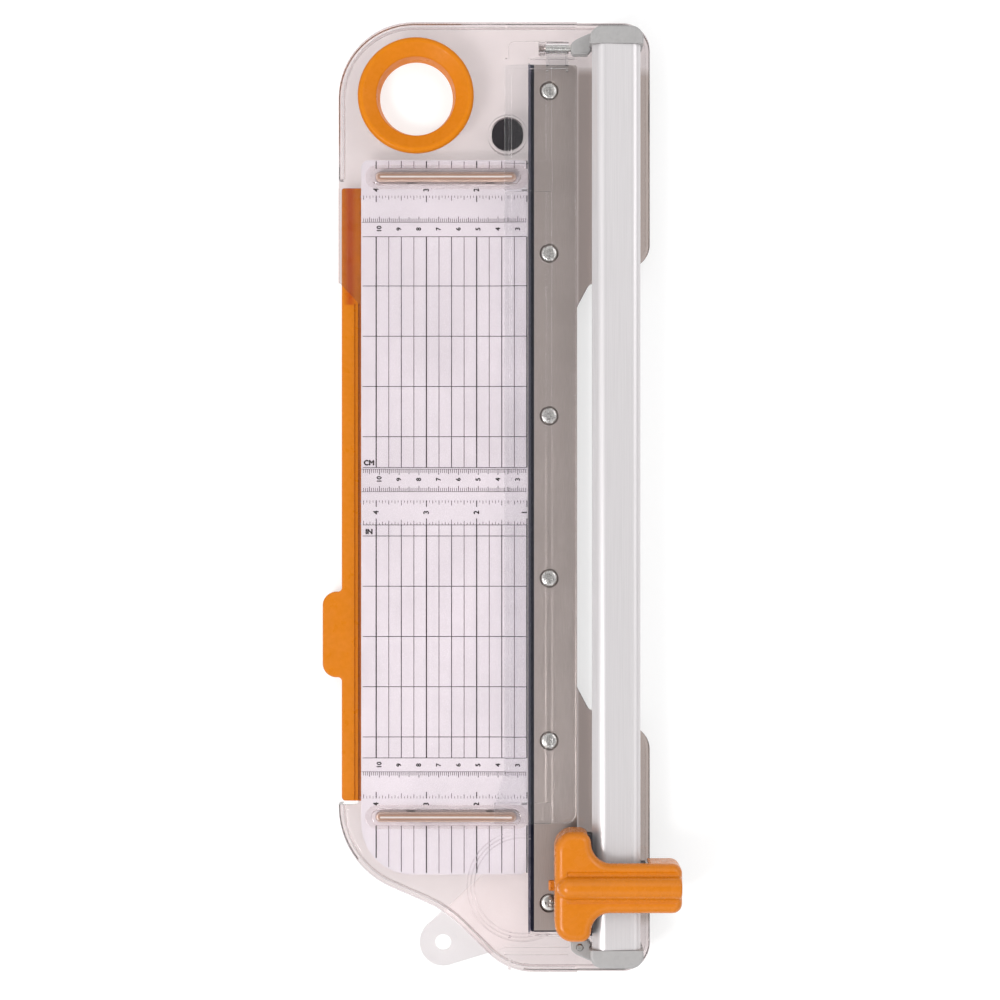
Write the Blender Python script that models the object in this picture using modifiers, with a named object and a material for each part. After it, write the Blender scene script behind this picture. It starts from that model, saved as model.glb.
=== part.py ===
"""Rotary paper trimmer: clear base, rail, sliding blade carriage, hinged paper guide and swing-out arm.

Metres, +Z up. The cut line runs along Y, the feet rest on Z = 0, and the origin is the bottom
centre of the whole trimmer.
"""

import math

import bmesh
import bpy
from mathutils import Matrix, Vector

mm = 0.001
GAP = 0.3 * mm                      # clearance between neighbouring pieces

# Base
HALF_LENGTH = 240 * mm
BASE_LEFT, BASE_RIGHT = -81.5 * mm, 75.8 * mm
WALL = 2.0 * mm
SKIRT_BOTTOM = 1.0 * mm
DECK_BOTTOM, DECK_TOP = 10.6 * mm, 13.0 * mm
FLOOR_BOTTOM, FLOOR_TOP = 7.1 * mm, 9.3 * mm
CUT_LINE = 39.0 * mm
EDGE_X = CUT_LINE - 0.1 * mm        # right edge of the deck between the wings
WING_START = 96 * mm
CHANNEL_LEFT, CHANNEL_HALF = 15.2 * mm, 221.2 * mm
CHANNEL_WALL = 1.0 * mm

# Printed sheet, lower pan and fences
SHEET_LEFT, SHEET_RIGHT = -70.2 * mm, 13.9 * mm
SHEET_FRONT, SHEET_REAR = -190.9 * mm, 170.3 * mm
SHEET_BOTTOM, SHEET_TOP = 9.8 * mm, 10.3 * mm
PAN_BOTTOM, PAN_TOP = 7.4 * mm, 9.5 * mm
PAN_FRONT = -189 * mm
FENCE_Y = 161.5 * mm
FENCE_LEFT, FENCE_RIGHT = -65 * mm, 10.5 * mm
FENCE_WIDTH, FENCE_FLANGE_WIDTH, FENCE_STEM_WIDTH = 8.6 * mm, 12.0 * mm, 6.4 * mm
FENCE_TOP = 15.6 * mm
FENCE_SCREW_X = (-45 * mm, -5 * mm)

# Steel cutting plate and its bed
PLATE_LEFT, PLATE_RIGHT = 17.2 * mm, CUT_LINE - 0.1 * mm
PLATE_REAR, PLATE_FRONT = 217.3 * mm, -218.8 * mm
PLATE_BOTTOM = 11.0 * mm
BED_BOTTOM, BED_TOP = 9.6 * mm, 10.7 * mm
SCREW_X, SCREW_PITCH, SCREW_COUNT = 24.8 * mm, 82 * mm, 6

# Hanging ring
RING_X, RING_Y = -42.5 * mm, 202.6 * mm
RING_OUTER, RING_TUBE, RING_HOLE = 29.3 * mm, 22.3 * mm, 18.2 * mm

# Feet: x, y and the height of the surface above each
FOOT_RADIUS = 8.0 * mm
FEET = {
    "foot_rear_left": (3.8 * mm, 183.4 * mm, DECK_BOTTOM),
    "foot_rear_right": (58 * mm, 196 * mm, FLOOR_BOTTOM),
    "foot_front_right": (58 * mm, -196 * mm, FLOOR_BOTTOM),
    "foot_middle_left": (-36 * mm, 118 * mm, PAN_BOTTOM),
    "foot_front_left": (-38 * mm, -138 * mm, PAN_BOTTOM),
}

# Rail and its end caps
RAIL_LEFT, RAIL_RIGHT = 46 * mm, 70 * mm
RAIL_BOTTOM, RAIL_TOP = 21 * mm, 33 * mm
RAIL_HALF = 225 * mm
CAP_END = 234.3 * mm
CAP_SCREW_X, CAP_SCREW_Y = (52 * mm, 64 * mm), 217 * mm

# Clear paper guide, hinged at its rear end
GUIDE_LEFT, GUIDE_RIGHT = 2.2 * mm, 38.4 * mm
GUIDE_REAR, GUIDE_FRONT = 217.8 * mm, -164.6 * mm
GUIDE_BOTTOM, GUIDE_TOP, GUIDE_LOW_TOP = 13.3 * mm, 16.3 * mm, 15.3 * mm
GUIDE_STEP_X = 26.5 * mm
HINGE_Y, HINGE_Z = 225.7 * mm, 16.8 * mm
HINGE_LEFT, HINGE_RIGHT = 23.2 * mm, 34.4 * mm

# Swing-out arm
ARM_LEFT, ARM_RIGHT = -80.3 * mm, -55.3 * mm
ARM_REAR, ARM_FRONT = 156.6 * mm, -154.1 * mm
ARM_BOTTOM, ARM_TOP = 4.1 * mm, 7.1 * mm
ARM_PIVOT_X, ARM_PIVOT_Y = -66 * mm, 144 * mm
ARM_TAB_LEFT = -90 * mm

# Hanging tab
TAB_X, TAB_Y, TAB_HEAD = -28.9 * mm, -226.4 * mm, 12 * mm
TAB_ROOT_X, TAB_ROOT_Y, TAB_ROOT = 10.3 * mm, -204.2 * mm, 21.7 * mm
TAB_PIVOT_X, TAB_PIVOT_Y = 2 * mm, -184.5 * mm
TAB_BOTTOM, TAB_TOP = 2.2 * mm, 3.7 * mm

# Carriage, parked at the front
CARRIAGE_Y = -192.6 * mm
HEAD_LEFT, HEAD_SIDE, HEAD_RIGHT = 27 * mm, 44.5 * mm, 90 * mm
HEAD_HALF, HANDLE_HALF = 27.2 * mm, 12.5 * mm
HEAD_BOTTOM, HEAD_TOP, GRIP_BOTTOM = 21 * mm, 43 * mm, 17 * mm
HOUSING_CEILING, HANDLE_CEILING = 38.7 * mm, 40.2 * mm
SEAT_ROUND = 4.5 * mm
RAIL_WAY_CEILING, BRIDGE_TOP = 37.8 * mm, 34.5 * mm     # their difference allows 3 mm of press
RIDGE_RADIUS, RIDGE_Z = 5.8 * mm, 41.6 * mm
BLADE_RADIUS, BLADE_Z = 14 * mm, 28.5 * mm
BLADE_LEFT, BLADE_RIGHT = 39.2 * mm, 39.7 * mm
AXLE_RADIUS = 2.4 * mm

FINISHES = {
    "clear": ((0.74, 0.70, 0.68), 0.08, 0.0),
    "paper": ((0.86, 0.85, 0.86), 0.5, 0.0),
    "orange": ((0.87, 0.27, 0.02), 0.3, 0.0),
    "grey": ((0.45, 0.44, 0.43), 0.45, 0.0),
    "dark": ((0.03, 0.03, 0.035), 0.5, 0.0),
    "rubber": ((0.015, 0.015, 0.018), 0.8, 0.0),
    "white": ((0.85, 0.84, 0.83), 0.35, 0.0),
    "aluminium": ((0.80, 0.78, 0.78), 0.32, 1.0),
    "steel": ((0.55, 0.53, 0.51), 0.3, 1.0),
    "plate": ((0.52, 0.44, 0.38), 0.3, 1.0),
}

MODEL = "rotary_paper_trimmer"


# Shapes ------------------------------------------------------------------------------------

def clear_scene():
    for thing in list(bpy.data.objects):
        bpy.data.objects.remove(thing)


def collection(name):
    made = bpy.data.collections.new(name)
    bpy.context.scene.collection.children.link(made)
    return made


def add_mesh(name, bm):
    bmesh.ops.recalc_face_normals(bm, faces=bm.faces)
    mesh = bpy.data.meshes.new(name)
    bm.to_mesh(mesh)
    bm.free()
    thing = bpy.data.objects.new(name, mesh)
    bpy.data.collections[MODEL].objects.link(thing)
    return thing


def evaluated_mesh(thing):
    bpy.context.view_layer.update()
    graph = bpy.context.evaluated_depsgraph_get()
    return bpy.data.meshes.new_from_object(thing.evaluated_get(graph), depsgraph=graph)


def bake(thing):
    """Replace the object's mesh by what its modifiers make of it."""
    mesh = evaluated_mesh(thing)
    thing.modifiers.clear()
    thing.data = mesh
    return thing


def combine(thing, operation, tools):
    """Boolean the object with each tool in turn, and remove the tools."""
    for tool in tools:
        modifier = thing.modifiers.new("Boolean", "BOOLEAN")
        modifier.operation = operation
        modifier.solver = "EXACT"
        modifier.object = tool
        bake(thing)
        bpy.data.objects.remove(tool)
    return thing


def cut(thing, *tools):
    return combine(thing, "DIFFERENCE", tools)


def join(thing, *tools):
    return combine(thing, "UNION", tools)


def box(name, x, y, z):
    """A box between the two values of each pair."""
    bm = bmesh.new()
    sides = [high - low for low, high in (x, y, z)]
    centre = [(low + high) / 2 for low, high in (x, y, z)]
    bmesh.ops.create_cube(bm, size=1, matrix=Matrix.LocRotScale(centre, None, sides))
    return add_mesh(name, bm)


TURN = {"X": Matrix.Rotation(math.pi / 2, 4, "Y"), "Y": Matrix.Rotation(math.pi / 2, 4, "X"),
        "Z": Matrix.Identity(4)}


def rod(name, axis, centre, radius, span, segments=24, end_radius=None):
    """A round bar along an axis: centre is its place in the other two, in XYZ order."""
    low, high = span
    place = list(centre)
    place.insert("XYZ".index(axis), (low + high) / 2)
    bm = bmesh.new()
    top = radius if end_radius is None else end_radius
    bmesh.ops.create_cone(bm, cap_ends=True, segments=segments, radius1=radius, radius2=top,
                          depth=high - low, matrix=Matrix.Translation(place) @ TURN[axis])
    return add_mesh(name, bm)


def ball(name, centre, radius):
    bm = bmesh.new()
    bmesh.ops.create_uvsphere(bm, u_segments=20, v_segments=10, radius=radius,
                              matrix=Matrix.Translation(centre) @ TURN["X"])
    return add_mesh(name, bm)


def arc(centre, radius, start, sweep, steps):
    """Points from one angle through a sweep, in radians."""
    return [(centre[0] + radius * math.cos(start + sweep * step / steps),
             centre[1] + radius * math.sin(start + sweep * step / steps))
            for step in range(steps + 1)]


def rounded(corners, quarter_steps=5):
    """A closed outline through corners given as (x, y, radius)."""
    points = []
    for index, (x, y, radius) in enumerate(corners):
        corner = Vector((x, y))
        back = (Vector(corners[index - 1][:2]) - corner).normalized()
        ahead = (Vector(corners[(index + 1) % len(corners)][:2]) - corner).normalized()
        if radius <= 0:
            points.append((x, y))
            continue
        half = back.angle(ahead) / 2
        centre = corner + (back + ahead).normalized() * (radius / math.sin(half))
        first = corner + back * (radius / math.tan(half)) - centre
        last = corner + ahead * (radius / math.tan(half)) - centre
        sweep = -first.angle_signed(last)
        steps = max(2, round(quarter_steps * abs(sweep) / (math.pi / 2)))
        points += arc(centre, radius, math.atan2(first.y, first.x), sweep, steps)
    return points


def inset(corners, distance):
    """The corners moved inwards, for an outline that runs anticlockwise."""
    lines = []
    for index, (x, y, _) in enumerate(corners):
        start = Vector((x, y))
        along = (Vector(corners[(index + 1) % len(corners)][:2]) - start).normalized()
        lines.append((start + Vector((-along.y, along.x)) * distance, along))
    moved = []
    for index, (_, _, radius) in enumerate(corners):
        (point, way), (other, turn) = lines[index - 1], lines[index]
        bend = way.cross(turn)
        place = point + way * ((other - point).cross(turn) / bend)
        wanted = radius - distance if bend > 0 else radius + distance
        moved.append((place.x, place.y, max(wanted, 0) if radius > 0 else 0))
    return moved


def racetrack(left, right, y, width, steps=6):
    """A slot outline along X with round ends."""
    radius = width / 2
    return (arc((right - radius, y), radius, -math.pi / 2, math.pi, steps)
            + arc((left + radius, y), radius, math.pi / 2, math.pi, steps))


def circle(centre, radius, segments=32):
    return arc(centre, radius, 0, 2 * math.pi * (segments - 1) / segments, segments - 1)


def prism(name, outlines, z, turn=None):
    """A flat outline (the first) with holes (the rest), between two heights, as a mesh."""
    curve = bpy.data.curves.new(name, "CURVE")
    curve.dimensions = "2D"
    curve.fill_mode = "BOTH"
    curve.extrude = (z[1] - z[0]) / 2
    for outline in outlines:
        spline = curve.splines.new("POLY")
        spline.points.add(len(outline) - 1)
        for point, (x, y) in zip(spline.points, outline):
            point.co = (x, y, 0, 1)
        spline.use_cyclic_u = True
    drawn = bpy.data.objects.new(name + "_outline", curve)
    bpy.data.collections[MODEL].objects.link(drawn)
    drawn.matrix_world = (turn or Matrix.Identity(4)) @ Matrix.Translation((0, 0, (z[0] + z[1]) / 2))
    mesh = evaluated_mesh(drawn)
    mesh.transform(drawn.matrix_world)
    bpy.data.objects.remove(drawn)
    bm = bmesh.new()
    bm.from_mesh(mesh)
    bmesh.ops.remove_doubles(bm, verts=bm.verts, dist=1e-6)
    return add_mesh(name, bm)


def turned(name, profile, place, axis="Z", segments=32):
    """A profile of (radius, height) points, closed on itself or ending on the axis, spun round."""
    bm = bmesh.new()
    corners = [bm.verts.new((radius, 0, height)) for radius, height in profile]
    for first, second in zip(corners, corners[1:]):
        bm.edges.new((first, second))
    if profile[0][0] > 0:
        bm.edges.new((corners[-1], corners[0]))
    mesh = bpy.data.meshes.new(name)
    bm.to_mesh(mesh)
    bm.free()
    thing = bpy.data.objects.new(name, mesh)
    bpy.data.collections[MODEL].objects.link(thing)
    screw = thing.modifiers.new("Screw", "SCREW")
    screw.steps = screw.render_steps = segments
    screw.use_merge_vertices = True
    screw.merge_threshold = 1e-6
    bake(thing)
    thing.data.transform(Matrix.Translation(place) @ TURN[axis])
    return thing


def soften(thing, width, segments=2, angle=35):
    bevel = thing.modifiers.new("Bevel", "BEVEL")
    bevel.width = width
    bevel.segments = segments
    bevel.limit_method = "ANGLE"
    bevel.angle_limit = math.radians(angle)
    bake(thing)
    bm = bmesh.new()
    bm.from_mesh(thing.data)
    bmesh.ops.triangulate(bm, faces=bm.faces)      # flat faces, for the cuts that follow
    bm.to_mesh(thing.data)
    bm.free()
    return thing


def coil(name, place, radius, wire, height, turns):
    """A compression spring standing on place, as a wire along a helix."""
    steps = 8
    curve = bpy.data.curves.new(name, "CURVE")
    curve.dimensions = "3D"
    curve.bevel_depth = wire / 2
    curve.bevel_resolution = 2
    curve.use_fill_caps = True
    spline = curve.splines.new("POLY")
    spline.points.add(turns * steps)
    climb = height - wire
    for index, point in enumerate(spline.points):
        angle = 2 * math.pi * index / steps
        rise = wire / 2 + climb * index / (turns * steps)
        point.co = (place[0] + radius * math.cos(angle), place[1] + radius * math.sin(angle),
                    place[2] + rise, 1)
    drawn = bpy.data.objects.new(name + "_wire", curve)
    bpy.data.collections[MODEL].objects.link(drawn)
    mesh = evaluated_mesh(drawn)
    bpy.data.objects.remove(drawn)
    bm = bmesh.new()
    bm.from_mesh(mesh)
    bmesh.ops.remove_doubles(bm, verts=bm.verts, dist=1e-6)
    return add_mesh(name, bm)


def finish(thing, finish_name):
    colour, roughness, metallic = FINISHES[finish_name]
    material = bpy.data.materials.new(thing.name)
    material.use_nodes = True
    shader = material.node_tree.nodes["Principled BSDF"]
    shader.inputs["Base Color"].default_value = (*colour, 1)
    shader.inputs["Roughness"].default_value = roughness
    shader.inputs["Metallic"].default_value = metallic
    thing.data.materials.clear()
    thing.data.materials.append(material)
    thing.data.set_sharp_from_angle(angle=math.radians(30))
    return thing


# Base --------------------------------------------------------------------------------------

def wing_corners(side):
    """The gap-side corners of one wing, from its outer end inwards; side is 1 rear, -1 front."""
    return [(BASE_RIGHT, side * 119.5 * mm, 12 * mm), (45 * mm, side * 107.5 * mm, 4 * mm),
            (EDGE_X, side * WING_START, 6 * mm)]


def base_corners():
    """The base's outline, anticlockwise from the rear left."""
    return ([(BASE_LEFT, HALF_LENGTH, 38 * mm), (BASE_LEFT, -185.5 * mm, 44 * mm),
             (-27.1 * mm, -209.2 * mm, 60 * mm), (3.7 * mm, -HALF_LENGTH, 33 * mm),
             (BASE_RIGHT, -HALF_LENGTH, 14 * mm)]
            + wing_corners(-1) + wing_corners(1)[::-1]
            + [(BASE_RIGHT, HALF_LENGTH, 14 * mm)])


def plate_screw_places():
    first = -SCREW_PITCH * (SCREW_COUNT - 1) / 2
    return [(SCREW_X, first + SCREW_PITCH * index) for index in range(SCREW_COUNT)]


def foot_cup(name, x, y, top):
    """The ring under a surface that holds a foot."""
    ring = [circle((x, y), 10 * mm, 16), circle((x, y), FOOT_RADIUS + 0.6 * mm, 16)]
    return prism(name, ring, (3.4 * mm, top + 0.2 * mm))


def underside():
    """The hollow under the deck, the lower floor and the ends of the base."""
    inner = rounded(inset(base_corners(), WALL))
    low = 0 * mm
    hollow = prism("hollow", [inner], (low, FLOOR_BOTTOM))
    deep = prism("deep", [inner], (low, DECK_BOTTOM))
    channel_side = CHANNEL_LEFT - CHANNEL_WALL
    middle_y = (-CHANNEL_HALF - CHANNEL_WALL, CHANNEL_HALF + CHANNEL_WALL)
    cut(deep, box("middle", (channel_side, 90 * mm), middle_y, (-mm, 20 * mm)))
    cut(deep, box("side", (EDGE_X - CHANNEL_WALL, 90 * mm), (-300 * mm, 300 * mm), (-mm, 20 * mm)))
    return join(hollow, deep)


def arm_opening():
    """Where the deck is cut back and the skirt left out, so that the arm can swing out."""
    front, edge = ARM_FRONT - 1.2 * mm, -71.5 * mm
    outline = [(-95 * mm, front), (edge, front), (edge, 98 * mm), (-80.9 * mm, 108 * mm),
               (-95 * mm, 108 * mm)]
    opening = prism("opening", [outline], (0, 14 * mm))
    return join(opening, box("under", (-95 * mm, -72 * mm), (90 * mm, ARM_REAR + 4 * mm),
                             (0, DECK_BOTTOM)))


def finger_well():
    """The shallow dish in the deck round the front end of the cutting plate."""
    corners = [(-17 * mm, -160 * mm, 20 * mm), (-17 * mm, -232 * mm, 27 * mm),
               (36 * mm, -232 * mm, 2 * mm), (36 * mm, -168 * mm, 2 * mm),
               (2 * mm, -168 * mm, 12 * mm)]
    outer = prism("well", [rounded(corners)], (12.5 * mm, 14 * mm))
    inner = prism("well_floor", [rounded(inset(corners, 5 * mm))], (12.1 * mm, 14 * mm))
    return outer, inner


def base_deck():
    deck = prism("base_deck", [rounded(base_corners())], (SKIRT_BOTTOM, DECK_TOP))
    soften(deck, 1.2 * mm)
    cut(deck, underside())
    far = 300 * mm
    cut(deck, box("shelf", (EDGE_X, 90 * mm), (-far, far), (FLOOR_TOP, 20 * mm)))
    cut(deck, box("channel", (CHANNEL_LEFT, 60 * mm), (-CHANNEL_HALF, CHANNEL_HALF),
                  (FLOOR_TOP, 20 * mm)))
    cut(deck, arm_opening())
    cut(deck, *finger_well())
    cut(deck, rod("ring_hole", "Z", (RING_X, RING_Y), RING_TUBE + 2 * GAP, (0, 20 * mm), 36))
    for side in (-1, 1):
        slot = racetrack(FENCE_LEFT + 1.2 * mm, FENCE_RIGHT - 1.2 * mm, side * FENCE_Y,
                         FENCE_STEM_WIDTH + 2 * GAP)
        cut(deck, prism("slot", [slot], (DECK_BOTTOM - mm, DECK_TOP + mm)))
    relief = (-72 * mm, 12 * mm), (-245 * mm, -183 * mm), (0, TAB_TOP + GAP)
    cut(deck, box("tab_relief", *relief))
    for name in ("foot_rear_left", "foot_rear_right", "foot_front_right"):
        join(deck, foot_cup("cup", *FEET[name]))
    for x, y in plate_screw_places():
        join(deck, rod("boss", "Z", (x, y), 4 * mm, (4 * mm, FLOOR_BOTTOM + 0.2 * mm), 12))
        cut(deck, rod("bore", "Z", (x, y), 1.9 * mm, (3 * mm, 12 * mm), 8))
    for side in (-1, 1):
        for x in CAP_SCREW_X:
            cut(deck, rod("bore", "Z", (x, side * CAP_SCREW_Y), 1.9 * mm, (3 * mm, 12 * mm), 8))
    lug = box("lug", (19.4 * mm, 22.8 * mm), (222.4 * mm, 229 * mm), (DECK_TOP - mm, 20 * mm))
    join(deck, soften(lug, mm))
    cut(deck, rod("bore", "X", (HINGE_Y, HINGE_Z), 1.9 * mm, (18 * mm, 24 * mm), 20))
    return finish(deck, "clear")


def sheet_outline(margin, front):
    return rounded([(SHEET_LEFT + margin, SHEET_REAR - margin, 4 * mm),
                    (SHEET_LEFT + margin, front, 26 * mm),
                    (SHEET_RIGHT, front, 4 * mm),
                    (SHEET_RIGHT, SHEET_REAR - margin, 4 * mm)])


def scale_sheet():
    slots = [racetrack(FENCE_LEFT + mm, FENCE_RIGHT - mm, side * FENCE_Y, FENCE_STEM_WIDTH + 4 * GAP)
             for side in (-1, 1)]
    sheet = prism("scale_sheet", [sheet_outline(0, SHEET_FRONT)] + slots, (SHEET_BOTTOM, SHEET_TOP))
    return finish(sheet, "paper")


def base_pan():
    pan = prism("base_pan", [sheet_outline(0.4 * mm, PAN_FRONT)], (PAN_BOTTOM, PAN_TOP))
    arm_pivot, tab_pivot = (ARM_PIVOT_X, ARM_PIVOT_Y), (TAB_PIVOT_X, TAB_PIVOT_Y)
    join(pan, rod("boss", "Z", arm_pivot, 4 * mm, (3.9 * mm, PAN_BOTTOM + 0.2 * mm)),
         rod("boss", "Z", tab_pivot, 5 * mm, (4 * mm, PAN_BOTTOM + 0.2 * mm)))
    for name in ("foot_middle_left", "foot_front_left"):
        join(pan, foot_cup("cup", *FEET[name]))
    cut(pan, rod("bore", "Z", arm_pivot, 1.8 * mm, (0, 20 * mm), 16),
        rod("bore", "Z", tab_pivot, 2.3 * mm, (0, 20 * mm), 16))
    for side in (-1, 1):
        for x in FENCE_SCREW_X:
            cut(pan, rod("bore", "Z", (x, side * FENCE_Y), 1.8 * mm, (0, 20 * mm), 8))
    return finish(pan, "clear")


def fence(name, side):
    y = side * FENCE_Y
    under = DECK_TOP + GAP
    rib = prism(name, [racetrack(FENCE_LEFT, FENCE_RIGHT, y, FENCE_WIDTH)], (under, FENCE_TOP))
    soften(rib, 0.5 * mm, 1)
    flange = racetrack(FENCE_LEFT - 3 * mm, FENCE_RIGHT + 4.4 * mm, y, FENCE_FLANGE_WIDTH)
    stem = racetrack(FENCE_LEFT + 1.6 * mm, FENCE_RIGHT - 1.6 * mm, y, FENCE_STEM_WIDTH)
    join(rib, prism("flange", [flange], (under, under + 0.6 * mm)),
         prism("stem", [stem], (PAN_TOP + GAP, under + 0.2 * mm)))
    groove = racetrack(FENCE_LEFT + 2.6 * mm, FENCE_RIGHT - 2.6 * mm, y, 3.2 * mm)
    cut(rib, prism("groove", [groove], (FENCE_TOP - 0.9 * mm, FENCE_TOP + mm)))
    for x in FENCE_SCREW_X:
        cut(rib, rod("bore", "Z", (x, y), 1.7 * mm, (8 * mm, 13.4 * mm), 8))
    return finish(rib, "clear")


def screw(name, x, y, head, shank, axis_up=True):
    """A cross-slot pan-head screw: head and shank are (radius, low, high)."""
    radius, low, high = head
    shank_radius, shank_low, shank_high = shank
    top = rod(name, "Z", (x, y), radius, (low, high), 14)
    overlap = 0.2 * mm
    span = (shank_low, low + overlap) if axis_up else (high - overlap, shank_high)
    join(top, rod("shank", "Z", (x, y), shank_radius, span, 8))
    slot = (high - 0.6 * mm, high + mm) if axis_up else (low - mm, low + 0.6 * mm)
    reach, half = radius * 0.55, radius * 0.12
    cut(top, box("slot", (x - reach, x + reach), (y - half, y + half), slot),
        box("slot", (x - half, x + half), (y - reach, y + reach), slot))
    return top


def cutting_plate():
    plate = box("cutting_plate", (PLATE_LEFT, PLATE_RIGHT), (PLATE_FRONT, PLATE_REAR),
                (PLATE_BOTTOM, DECK_TOP))
    for place in plate_screw_places():
        cut(plate, rod("bore", "Z", place, 1.9 * mm, (10 * mm, 14 * mm), 8),
            rod("sink", "Z", place, 4.5 * mm, (DECK_TOP - 1.3 * mm, 14 * mm), 16))
    return finish(plate, "plate")


def plate_bed():
    outline = [(CHANNEL_LEFT + GAP, -219.9 * mm), (EDGE_X - GAP, -219.9 * mm),
               (EDGE_X - GAP, 218.4 * mm), (CHANNEL_LEFT + GAP, 218.4 * mm)]
    holes = [circle(place, 2 * mm, 8) for place in plate_screw_places()]
    return finish(prism("plate_bed", [outline] + holes, (BED_BOTTOM, BED_TOP)), "dark")


def screws(name, places, head, shank, axis_up=True):
    """One screw for each place, numbered from 1."""
    for number, (x, y) in enumerate(places, 1):
        finish(screw(f"{name}_{number}", x, y, head, shank, axis_up), "steel")


def plate_screws():
    head = (3.8 * mm, DECK_TOP - 1.0 * mm, DECK_TOP - 0.1 * mm)
    screws("plate_screw", plate_screw_places(), head, (1.5 * mm, 4.6 * mm, 0))


def fence_screws():
    head = (3 * mm, PAN_BOTTOM - 2.0 * mm, PAN_BOTTOM - GAP)
    places = [(x, side * FENCE_Y) for side in (-1, 1) for x in FENCE_SCREW_X]
    screws("fence_screw", places, head, (1.3 * mm, 0, 12.6 * mm), False)


def hang_ring():
    under = DECK_TOP + GAP
    profile = [(RING_OUTER, under), (RING_OUTER, 14.6 * mm), (26.6 * mm, 16.2 * mm),
               (24.0 * mm, 14.4 * mm), (RING_HOLE, 2.4 * mm), (RING_TUBE, 2.4 * mm),
               (RING_TUBE, under)]
    ring = turned("hang_ring", profile[::-1], (RING_X, RING_Y, 0), segments=28)
    return finish(ring, "orange")


def foot(name, x, y, top):
    profile = [(0, top - GAP), (FOOT_RADIUS, top - GAP), (FOOT_RADIUS, 0.8 * mm),
               (FOOT_RADIUS - 0.8 * mm, 0), (0, 0)]
    return finish(turned(name, profile, (x, y, 0), segments=16), "rubber")


# Swing-out arm and hanging tab -------------------------------------------------------------

def swing_arm():
    tab_rear, tab_front = -48 * mm, -91.5 * mm
    corners = [(ARM_LEFT, ARM_REAR, 1.2 * mm), (ARM_LEFT, tab_rear, 2 * mm),
               (ARM_TAB_LEFT, tab_rear, 7 * mm), (ARM_TAB_LEFT, tab_front, 7 * mm),
               (ARM_LEFT, tab_front, 2 * mm), (ARM_LEFT, ARM_FRONT, 2 * mm),
               (ARM_RIGHT, ARM_FRONT, 2 * mm), (ARM_RIGHT, ARM_REAR, 10 * mm)]
    pivot = circle((ARM_PIVOT_X, ARM_PIVOT_Y), 4.3 * mm, 24)
    arm = prism("swing_arm", [rounded(corners), pivot], (ARM_BOTTOM, ARM_TOP))
    return finish(soften(arm, 0.5 * mm, 1, 60), "orange")


def arm_pivot_screw():
    head = (3.6 * mm, 1.2 * mm, 2.6 * mm)
    piece = screw("arm_pivot_screw", ARM_PIVOT_X, ARM_PIVOT_Y, head, (1.5 * mm, 0, 8.8 * mm), False)
    return finish(piece, "steel")


def washer(name, axis, centre, radius, hole, span):
    ring = rod(name, axis, centre, radius, span, 24)
    low, high = span
    return cut(ring, rod("hole", axis, centre, hole, (low - mm, high + mm), 24))


def hang_tab():
    head, root = Vector((TAB_X, TAB_Y)), Vector((TAB_ROOT_X, TAB_ROOT_Y))
    along = root - head
    lean = math.asin((TAB_ROOT - TAB_HEAD) / along.length)
    heading = math.atan2(along.y, along.x)
    quarter = math.pi / 2
    outline = (arc(head, TAB_HEAD, heading + quarter + lean, math.pi - 2 * lean, 14)
               + arc(root, TAB_ROOT, heading - quarter - lean, math.pi + 2 * lean, 18))
    holes = [circle(head, 4 * mm, 24), circle((TAB_PIVOT_X, TAB_PIVOT_Y), 2.3 * mm, 16)]
    return finish(prism("hang_tab", [outline] + holes, (TAB_BOTTOM, TAB_TOP)), "white")


def tab_rivet():
    place = (TAB_PIVOT_X, TAB_PIVOT_Y)
    rivet = rod("tab_rivet", "Z", place, 3.2 * mm, (0.9 * mm, 1.9 * mm), 20, 4.2 * mm)
    join(rivet, rod("shank", "Z", place, 2 * mm, (1.7 * mm, 8.8 * mm), 16))
    return finish(rivet, "steel")


# Rail --------------------------------------------------------------------------------------

def rail():
    groove_in, groove_low, groove_high = 49.2 * mm, 25.4 * mm, 28.6 * mm
    outside = rounded([(RAIL_LEFT, RAIL_TOP, 3 * mm), (RAIL_LEFT, groove_high, 0),
                       (groove_in, groove_high, 0), (groove_in, groove_low, 0),
                       (RAIL_LEFT, groove_low, 0), (RAIL_LEFT, RAIL_BOTTOM, 1.5 * mm),
                       (RAIL_RIGHT, RAIL_BOTTOM, 1.5 * mm), (RAIL_RIGHT, RAIL_TOP, 3 * mm)], 5)
    inside = rounded([(51 * mm, 31.2 * mm, mm), (51 * mm, 22.8 * mm, mm),
                      (68.2 * mm, 22.8 * mm, mm), (68.2 * mm, 31.2 * mm, mm)], 3)
    bar = prism("rail", [outside, inside], (-RAIL_HALF, RAIL_HALF), TURN["Y"])
    return finish(bar, "aluminium")


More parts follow.
